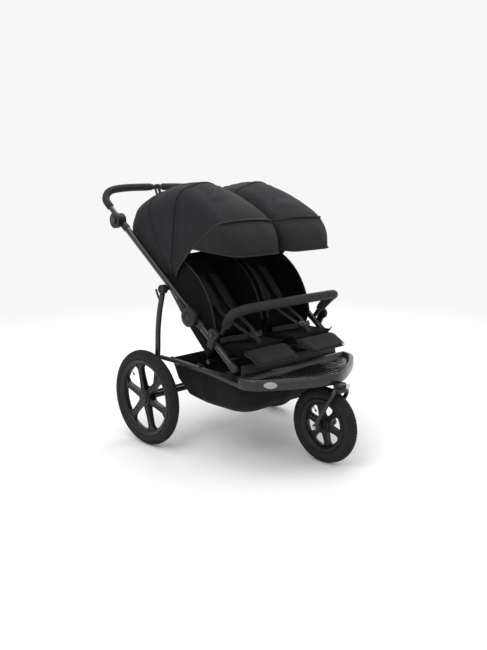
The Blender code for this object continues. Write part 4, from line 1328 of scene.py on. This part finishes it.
# ---------------------------------------------------------------- frame
@dataclass
class Chassis:
    """Bent tubes, the fork and the joints' covers."""

    small_tube: float = 0.010
    leg: float = 0.0115
    leg_x: float = 0.3365
    steer_y: float = -0.744
    front_wheel_r: float = FRONT_RADIUS
    front_axle_y: float = -WHEELBASE

    @property
    def crown_z(self) -> float:
        """Return the height of the fork's crown tube."""
        return self.front_wheel_r * 2 + 0.004

    def tubes(self) -> None:
        """Make the bent tubes finer than the frame's plain ones."""
        yoke = self.crown_z + 0.0088 + 0.0015 + self.small_tube + 0.002
        half = [(TUBE_X, -0.018, 0.374), (TUBE_X, -0.18, 0.372), (TUBE_X - 0.001, -0.34, 0.362),
                (TUBE_X - 0.010, -0.46, yoke + 0.004), (TUBE_X - 0.020, -0.52, yoke),
                (TUBE_X - 0.062, -0.580, yoke), (0.150, -0.640, yoke), (0.070, -0.684, yoke)]
        route = [place(*p) for p in half + [(0.0, self.steer_y + 0.027 + 0.0104, yoke)]
                 + mirrored(half[::-1])]
        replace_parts(tube("lower_frame_tube", smooth_path(route), self.small_tube, PAINT, "root"),
                    "lower_frame")
        for side, sign in SIDES:
            x = sign * self.leg_x
            leg = [place(x, *p)
                   for p in ((0.0, 0.2189), (-0.015, 0.30), (-0.028, 0.40), (-0.034, 0.50), (-0.047, 0.580),
                             (HOOD_Y + 0.010, HOOD_Z - 0.045), (HOOD_Y + 0.003, HOOD_Z - 0.0198))]
            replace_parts(tube(f"rear_leg_tube_{side}", smooth_path(leg), self.leg, PAINT, "root"),
                        f"rear_leg_{side}")
            link = [place(x + sign * 0.004, *p)
                    for p in ((HOOD_Y + 0.006, HOOD_Z - 0.062), (HOOD_Y + 0.028, HOOD_Z - 0.030),
                                                         (HOOD_Y + 0.040, HOOD_Z - 0.004))]
            tube(f"leg_link_{side}", smooth_path(link), 0.0045, PAINT, "root", 12)

    def fork(self) -> None:
        """Make the fork with its dropouts, crown and axle nuts."""
        blade_x, blade_r = 0.050, 0.0088
        half = [(blade_x, self.front_axle_y, self.front_wheel_r - 0.012),
                (blade_x, self.front_axle_y - 0.006, self.front_wheel_r + 0.02),
                (blade_x, self.front_axle_y - 0.040, self.front_wheel_r + 0.085),
                (blade_x - 0.001, self.steer_y + 0.006, self.front_wheel_r + 0.133),
                (blade_x - 0.016, self.steer_y, self.crown_z - 0.002)]
        route = [place(*p) for p in mirrored(half) + [(0.0, self.steer_y, self.crown_z)] + half[::-1]]
        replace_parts(tube("fork_tube", smooth_path(route), blade_r, PAINT, "fork"), "front_fork")
        bm = bmesh.new()
        for way in (-1, 1):
            end = place(way * (blade_x + 0.0005), self.front_axle_y, self.front_wheel_r)
            turned(bm,
                   [(0.0002, -0.0070), (0.0150, -0.0070), (0.0165, -0.0050), (0.0165, 0.0050),
                    (0.0150, 0.0095), (0.0002, 0.0095)], end, 28, closed=False)
        piece("fork_dropouts", bm, PAINT, "fork")
        for label, way in (("right", -1), ("left", 1)):
            bm = bmesh.new()
            end = place(way * (blade_x + 0.009), self.front_axle_y, self.front_wheel_r)
            nut = [(0.0002, 0.0), (0.0085, 0.0), (0.0085, way * 0.006), (0.0045, way * 0.0065),
                   (0.0045, way * 0.011), (0.0002, way * 0.0115)]
            turned(bm, nut, end, 6, closed=False)
            piece(f"axle_nut_{label}", bm, STEEL, "fork", 20)
        bm = bmesh.new()
        block(bm, place(0, self.steer_y, self.crown_z - 0.002), (0.062, 0.036, 0.021), 0.006)
        piece("fork_crown_cover", bm, PLASTIC, "fork")

    def covers(self) -> None:
        """Make the ribbed covers, bolts and collars of the joints."""
        for side, sign in SIDES:
            spots = (("fold", FOLD_Y, FOLD_Z, OUTBOARD + 0.018, 0.041, "root"),
                     ("hood_pivot", HOOD_Y, HOOD_Z, OUTBOARD + 0.022, 0.019, "root"))
            for label, y, z, face, radius, body in spots:
                bm = bmesh.new()
                dish = [(0.0002, 0.0012), (radius * 0.30, 0.0012), (radius * 0.34, 0.0003),
                        (radius * 0.55, 0.0003),
                        (radius * 0.60, 0.0022), (radius * 0.90, 0.0022), (radius * 0.985, 0.0006),
                        (radius * 0.99, -0.006)]
                turned(bm, [(r, sign * a) for r, a in dish], place(sign * face, y, z), 40, closed=False)
                for index in range(12):
                    turn = TAU * index / 12
                    spoke = Vector((0, math.cos(turn), math.sin(turn)))
                    block(bm, place(sign * (face + 0.0008), y, z) + spoke * radius * 0.46,
                          (0.0022, radius * 0.20, radius * 0.06), radius * 0.02,
                          Matrix.Rotation(turn, 4, "X"))
                piece(f"{label}_cover_{side}", bm, PLASTIC, body, 30)
            for label, reach, body in (("foot_collar", -0.285, "root"), ("lower_collar", -0.052, "root"),
                                       ("upper_collar", 0.048, "upper_frame"),
                                       ("hub_collar", 0.560, "upper_frame")):
                ends = [place(sign * TUBE_X, *up_tube(reach + shift))
                        for shift in (-0.016, -0.013, 0.013, 0.016)]
                bm = bmesh.new()
                radii = (TUBE_R + 0.0006, TUBE_R + 0.0028, TUBE_R + 0.0028, TUBE_R + 0.0006)
                sweep(bm, ends, lambda share, radii=radii: circle(radii[min(3, round(share * 3))], 32))
                piece(f"{label}_{side}", bm, PLASTIC, body)

    def dress_nodes(self) -> None:
        """Give every node that stays its finish, rounded edges and smooth shading."""
        slots = {part["node"]: part["material_slot"] for part in frame["record"]["subparts"]}
        for name, node in frame["nodes"].items():
            node.data.materials.clear()
            node.data.materials.append(material(CAD_FINISH[slots[name]]))
            node.data.shade_smooth()
            if node.hide_render:
                continue
            weld = node.modifiers.new("weld", "WELD")
            weld.merge_threshold = 0.00002
            bevel = node.modifiers.new("edges", "BEVEL")
            bevel.width = 0.0008
            bevel.segments = 2
            bevel.angle_limit = math.radians(40)
            split = node.modifiers.new("split", "EDGE_SPLIT")
            split.split_angle = math.radians(38)

    def build(self) -> None:
        """Make every piece of the chassis."""
        self.tubes()
        self.fork()
        self.covers()
        log.info("chassis ready")


@dataclass
class PushHandle:
    """The push handle: bar, wrapped grips, adjusters and wrist strap."""

    bar_r: float = 0.0115
    grip_r: float = 0.0166

    def route(self) -> list[Vector]:
        """Return the bar's centreline from hub to hub."""
        half = [(TUBE_X, HUB_Y - 0.004, HUB_Z - 0.003), (TUBE_X, HUB_Y + 0.070, HUB_Z + 0.052),
                (TUBE_X - 0.008, HUB_Y + 0.118, HUB_Z + 0.090), (0.262, HUB_Y + 0.138, HUB_Z + 0.124),
                (0.170, HUB_Y + 0.138, HUB_Z + 0.137)]
        whole = half + [(0.0, HUB_Y + 0.136, HUB_Z + 0.139)] + mirrored(half[::-1])
        return smooth_path([place(*p) for p in whole], 14)

    def grip_radius(self, share: float) -> float:
        """Return the grip's radius, rounded off at its ends."""
        end = min(share, 1 - share)
        return self.bar_r + (self.grip_r - self.bar_r) * min(1.0, (end / 0.03) ** 0.5 + 0.25)

    def build(self) -> None:
        """Make every piece of the handle."""
        route = self.route()
        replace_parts(tube("handle_bar", route, self.bar_r, PAINT, "handle"), "push_handle")
        for side, sign in SIDES:
            run = [p for p in route if p.x * sign > 0.018 and p.z > HUB_Z + 0.050]
            bm = bmesh.new()
            sweep(bm, run, lambda share: circle(self.grip_radius(share), 28))
            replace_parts(piece(f"grip_sleeve_{side}", bm, FOAM, "handle"), f"handle_grip_{side}")
            seam = [p + Vector((0, 0.0, -self.grip_r)) for p in run[2:-2]]
            tube(f"grip_seam_{side}", seam, 0.0011, BINDING, "handle", 8)
            bm = bmesh.new()
            centre = place(sign * (TUBE_X + 0.0015), HUB_Y, HUB_Z)
            turned(bm,
                   [(0.0002, -0.0155), (0.0285, -0.0155), (0.0305, -0.0125), (0.0305, 0.0110),
                    (0.0290, 0.0118), (0.0002, 0.0118)], centre, 40, closed=False)
            piece(f"adjuster_barrel_{side}", bm, PLASTIC, "upper_frame")
        top = place(0.0, HUB_Y + 0.136, HUB_Z + 0.139)
        loop = [top + Vector(p)
                for p in ((0.0, 0.011, 0.008), (0.0, -0.008, 0.0125), (0.001, -0.0150, -0.004),
                          (0.004, -0.026, -0.050), (0.006, -0.040, -0.095), (0.002, -0.052, -0.118),
                          (-0.006, -0.040, -0.112), (-0.008, -0.022, -0.060), (-0.002, 0.006, -0.0145),
                          (0.0, 0.0135, 0.002))]
        made = strap("wrist_loop", smooth_path(loop), 0.018, "handle")
        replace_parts(made, "wrist_strap")
        log.info("handle ready")


@dataclass
class BumperBar:
    """The bumper bar: foam sleeve gathered at its ends, and its knuckles."""

    knuckle_y: float = -0.375
    knuckle_z: float = 0.530
    foam_r: float = 0.0190

    def route(self) -> list[Vector]:
        """Return the bar's centreline from knuckle to knuckle."""
        y, z = self.knuckle_y, self.knuckle_z
        half = [(TUBE_X - 0.026, y + 0.004, z - 0.005), (TUBE_X - 0.023, y - 0.030, z + 0.040),
                (TUBE_X - 0.014, y - 0.070, z + 0.083), (TUBE_X - 0.045, y - 0.112, z + 0.106),
                (0.150, y - 0.126, z + 0.111)]
        whole = half + [(0.0, y - 0.129, z + 0.112)] + mirrored(half[::-1])
        return smooth_path([place(*p) for p in whole], 14)

    def foam_radius(self, share: float) -> float:
        """Return the sleeve's radius: gathered in folds towards its ends."""
        end = min(share, 1 - share)
        folds = 0.0011 * math.sin(share * 420) * (1 - ease(end, 0.03, 0.13))
        return 0.0145 + (self.foam_r - 0.0145) * ease(end, -0.01, 0.05) + folds

    def build(self) -> None:
        """Make every piece of the bumper bar."""
        route = self.route()
        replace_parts(tube("bumper_bar", route, 0.0095, PAINT, "bumper"), "bumper_tube")
        run = [p for p in route if p.z > self.knuckle_z + 0.026]
        fine = smooth_path(run, 4)
        bm = bmesh.new()
        sweep(bm, fine, lambda share: circle(self.foam_radius(share), 28))
        sleeve = piece("bumper_sleeve", bm, FOAM, "bumper")
        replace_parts(sleeve, "bumper_foam")
        seam = [p + Vector((0, 0.0128, -0.0128)) for p in run[8:-8]]
        tube("bumper_sleeve_seam", seam, 0.0010, BINDING, "bumper", 8)
        for side, sign in SIDES:
            bm = bmesh.new()
            face = place(sign * (OUTBOARD + SOCKET_DEPTH), self.knuckle_y, self.knuckle_z)
            ring = [(0.0112, -0.001), (0.0112, 0.0016), (0.0205, 0.0022), (0.0242, 0.0002), (0.0246, -0.006),
                    (0.02, -0.007)]
            turned(bm, [(r, sign * a) for r, a in ring], face, 36)
            piece(f"bumper_rosette_{side}", bm, PLASTIC, "root", 30)
        log.info("bumper ready")


@dataclass
class Footrest:
    """The footrest tray with its tread and a blank badge."""

    top: float = 0.380
    depth: float = 0.044
    half: float = 0.322
    rear: float = -0.500
    floor: float = 0.35630

    def outline(self, inset: float) -> list[tuple[float, float]]:
        """Return the tray's plan as a closed loop.

        Args:
            inset: How far it is drawn in.

        Returns:
            The (x, y) points from the rear axle line.
        """
        corners = [(self.half, self.rear), (self.half, -0.538), (self.half - 0.024, -0.582), (0.215, -0.640),
                   (0.110, -0.697), (0.045, -0.723), (0.0, -0.730)]
        scale = 1 - inset / self.half
        half = [(x * scale, y + (inset if i else -inset), 0.0) for i, (x, y) in enumerate(corners)]
        smooth = smooth_path(half[:2], 2)[:-1] + smooth_path(half[1:] + [(-half[-2][0], half[-2][1], 0.0)],
                                                             7)[:-7]
        points = [(p.x, p.y) for p in smooth]
        return points + [(-x, y) for x, y in points[-2::-1]]

    def ring(self, inset: float, z: float) -> list[Vector]:
        """Return the tray's outline at a height."""
        return [place(x, y, z) for x, y in self.outline(inset)]

    def tray(self) -> None:
        """Make the tray, one shell with a rolled lip."""
        bottom = self.top - self.depth
        rings = [self.ring(*level) for level in (
            (0.020, self.floor - 0.0035), (0.010, self.floor - 0.0042), (0.0055, bottom + 0.003),
                                                 (0.0030, bottom),
            (0.0008, bottom + 0.004), (0.0, bottom + 0.012), (0.0012, self.top - 0.009),
                                                 (0.0035, self.top - 0.003),
            (0.0070, self.top), (0.0115, self.top - 0.001), (0.0155, self.top - 0.005),
                                                 (0.0205, self.floor + 0.004),
            (0.0250, self.floor))]
        bm = bmesh.new()
        skin(bm, rings)
        made = piece("footrest_shell", bm, SATIN, "root", 50)
        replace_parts(made, "footrest_tray")

    def nose(self, x: float) -> float:
        """Return how far forward the tray's floor reaches at a place across."""
        inner = [(px, py) for px, py in self.outline(0.030) if py < self.rear - 0.02]
        return min(inner, key=lambda p: abs(p[0] - x))[1]

    def tread(self) -> None:
        """Make the ribs, the round emboss and the grip dots of the tray's floor."""
        bm = bmesh.new()
        for index in range(-11, 12):
            x = index * 0.0245
            front = self.nose(x) + 0.010
            back = self.rear - 0.030
            if back - front > 0.02 and abs(abs(x) - 0.15) > 0.048:
                block(bm, place(x, (front + back) / 2, self.floor + 0.0008), (0.0060, back - front, 0.0026),
                      0.0010)
        for way in (-1, 1):
            centre = place(way * 0.150, -0.572, self.floor)
            turned(bm,
                   [(0.0395, -0.001), (0.0395, 0.0020), (0.0410, 0.0026), (0.0435, 0.0020), (0.0440, -0.001)],
                   centre, 48, axis=2)
            for ring_r, count in ((0.0, 1), (0.012, 6), (0.024, 12), (0.034, 18)):
                for step in range(count):
                    turn = TAU * step / count
                    dot = centre + Vector((ring_r * math.cos(turn), ring_r * math.sin(turn), 0))
                    turned(bm, [(0.0030, -0.0005), (0.0026, 0.0016), (0.0004, 0.0020)], dot, 10, axis=2,
                           closed=False)
        piece("footrest_tread", bm, SATIN, "root", 40)

    def badge(self) -> None:
        """Make the blank oval plate on the tray's near corner."""
        centre = place(-0.2610, -0.6160, 0.3600)
        outward = Vector((-0.72, -0.69, 0.10)).normalized()
        along = outward.cross(Vector((0, 0, 1))).normalized()
        over = along.cross(outward)
        rings = []
        for grow, rise in ((1.0, -0.006), (1.0, 0.0012), (0.93, 0.0026), (0.80, 0.0022), (0.02, 0.0026)):
            rings.append([centre + outward * rise + along * (0.026 * grow * math.cos(TAU * i / 40))
                          + over * (0.0125 * grow * math.sin(TAU * i / 40)) for i in range(40)])
        bm = bmesh.new()
        skin(bm, rings)
        piece("blank_oval_badge", bm, BADGE, "root", 30)

    def build(self) -> None:
        """Make every piece of the footrest."""
        self.tray()
        self.tread()
        self.badge()
        log.info("footrest ready")


@dataclass
class Basket:
    """The storage basket: a sagging cloth shell, its hem and its straps."""

    top: float = 0.362
    depth: float = 0.190

    def ring(self, share: float, inset: float = 0.0, steps: int = 9) -> list[Vector]:
        """Return the basket's outline at a share of its depth, with folds in the cloth."""
        levels = ((0.0, 0.283, -0.476, -0.030, 0.040), (0.35, 0.284, -0.480, -0.060, 0.050),
                  (0.70, 0.272, -0.470, -0.100, 0.070), (0.90, 0.225, -0.440, -0.150, 0.080),
                  (1.0, 0.150, -0.380, -0.200, 0.060))
        at = [float(np.interp(share, [v[0] for v in levels], [v[i] for v in levels])) for i in range(1, 5)]
        half, front, rear, corner = at[0] - inset, at[1] + inset, at[2] - inset, at[3]
        ring = []
        for cx, cy, start in ((half - corner, rear - corner, 0), (-half + corner, rear - corner, 90),
                              (-half + corner, front + corner, 180), (half - corner, front + corner, 270)):
            for step in range(steps + 1):
                a = math.radians(start + 90 * step / steps)
                ring.append(Vector((cx + corner * math.cos(a), cy + corner * math.sin(a), 0.0)))
        full = []
        for here, there in zip(ring, ring[1:] + ring[:1]):
            pieces = max(1, round((there - here).length / 0.022))
            full += [here.lerp(there, k / pieces) for k in range(pieces)]
        return full

    def shell(self, rows: int = 16) -> None:
        """Make the cloth shell."""
        count = 120
        rings = []
        for row in range(rows + 1):
            share = row / rows
            outline = self.ring(share)
            lengths = np.cumsum([0.0] + [(b - a).length for a, b in zip(outline, outline[1:] + outline[:1])])
            closed = outline + outline[:1]
            ring = []
            for index in range(count):
                target = lengths[-1] * index / count
                k = min(len(outline) - 1, int(np.searchsorted(lengths, target, side="right") - 1))
                p = closed[k].lerp(closed[k + 1],
                                   (target - lengths[k]) / max(1e-9, lengths[k + 1] - lengths[k]))
                fold = noise.noise(Vector((p.x * 14, p.y * 14, share * 2.2)))
                pull = 0.011 * math.sin(math.pi * share) * fold
                centre = Vector((0, -0.27, 0))
                out = (p - centre).normalized()
                sag = 0.012 * share * noise.noise(Vector((p.x * 6, p.y * 6, 4.0)))
                ring.append(place(p.x + out.x * (pull - 0.003), p.y + out.y * (pull - 0.003),
                                  self.top - (self.depth - 0.004) * share ** 0.9 + sag * (1 - share)))
            rings.append(ring)
        bm = bmesh.new()
        skin(bm, rings, caps=False)
        bm.verts.ensure_lookup_table()
        bm.faces.new([bm.verts[i] for i in range(rows * count, (rows + 1) * count)])
        bmesh.ops.triangulate(bm, faces=[f for f in bm.faces if len(f.verts) > 4])
        made = piece("basket_cloth", bm, BASKET_CLOTH, None, 180)
        thicken(made, 0.0020)
        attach(made, "root")
        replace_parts(made, "storage_basket")
        hem = rings[0]
        strap("basket_hem", [p + Vector((0, 0, -0.004)) for p in hem + hem[:1]], 0.018, "root", BINDING,
              Vector((0, 0, 1)))

    def straps(self) -> None:
        """Make the straps that hang the basket from the frame."""
        for side, sign in SIDES:
            for label, y in (("front", -0.430), ("middle", -0.260), ("rear", -0.090)):
                run = [place(sign * 0.281, y, 0.345), place(sign * 0.2865, y, 0.366),
                       place(sign * 0.297, y, 0.3845), place(sign * 0.312, y, 0.3855)]
                strap(f"basket_strap_{label}_{side}", smooth_path(run, 4), 0.022, "root",
                      across=Vector((0, 1, 0)))

    def build(self) -> None:
        """Make every piece of the basket."""
        self.shell()
        self.straps()
        log.info("basket ready")


def main() -> None:
    """Build the stroller's looks in order."""
    logging.basicConfig(level=logging.INFO, format="%(message)s")
    Studio().build()
    for side, sign in SIDES:
        Wheel(f"rear_{side}", f"rear_wheel_{side}", place(sign * REAR_X, 0, REAR_RADIUS), REAR_RADIUS,
              REAR_SECTION, sign, REAR_HUB_HALF, True).build()
    Wheel("front", "front_wheel", place(0, -WHEELBASE, FRONT_RADIUS), FRONT_RADIUS, FRONT_SECTION, -1,
          FRONT_HUB_HALF, False).build()
    Chassis().build()
    PushHandle().build()
    BumperBar().build()
    Footrest().build()
    Basket().build()
    for side, sign in SIDES:
        Seat(side, sign).build()
        Hood(side, sign).build()
    Chassis().dress_nodes()


if __name__ == "__main__":
    main()
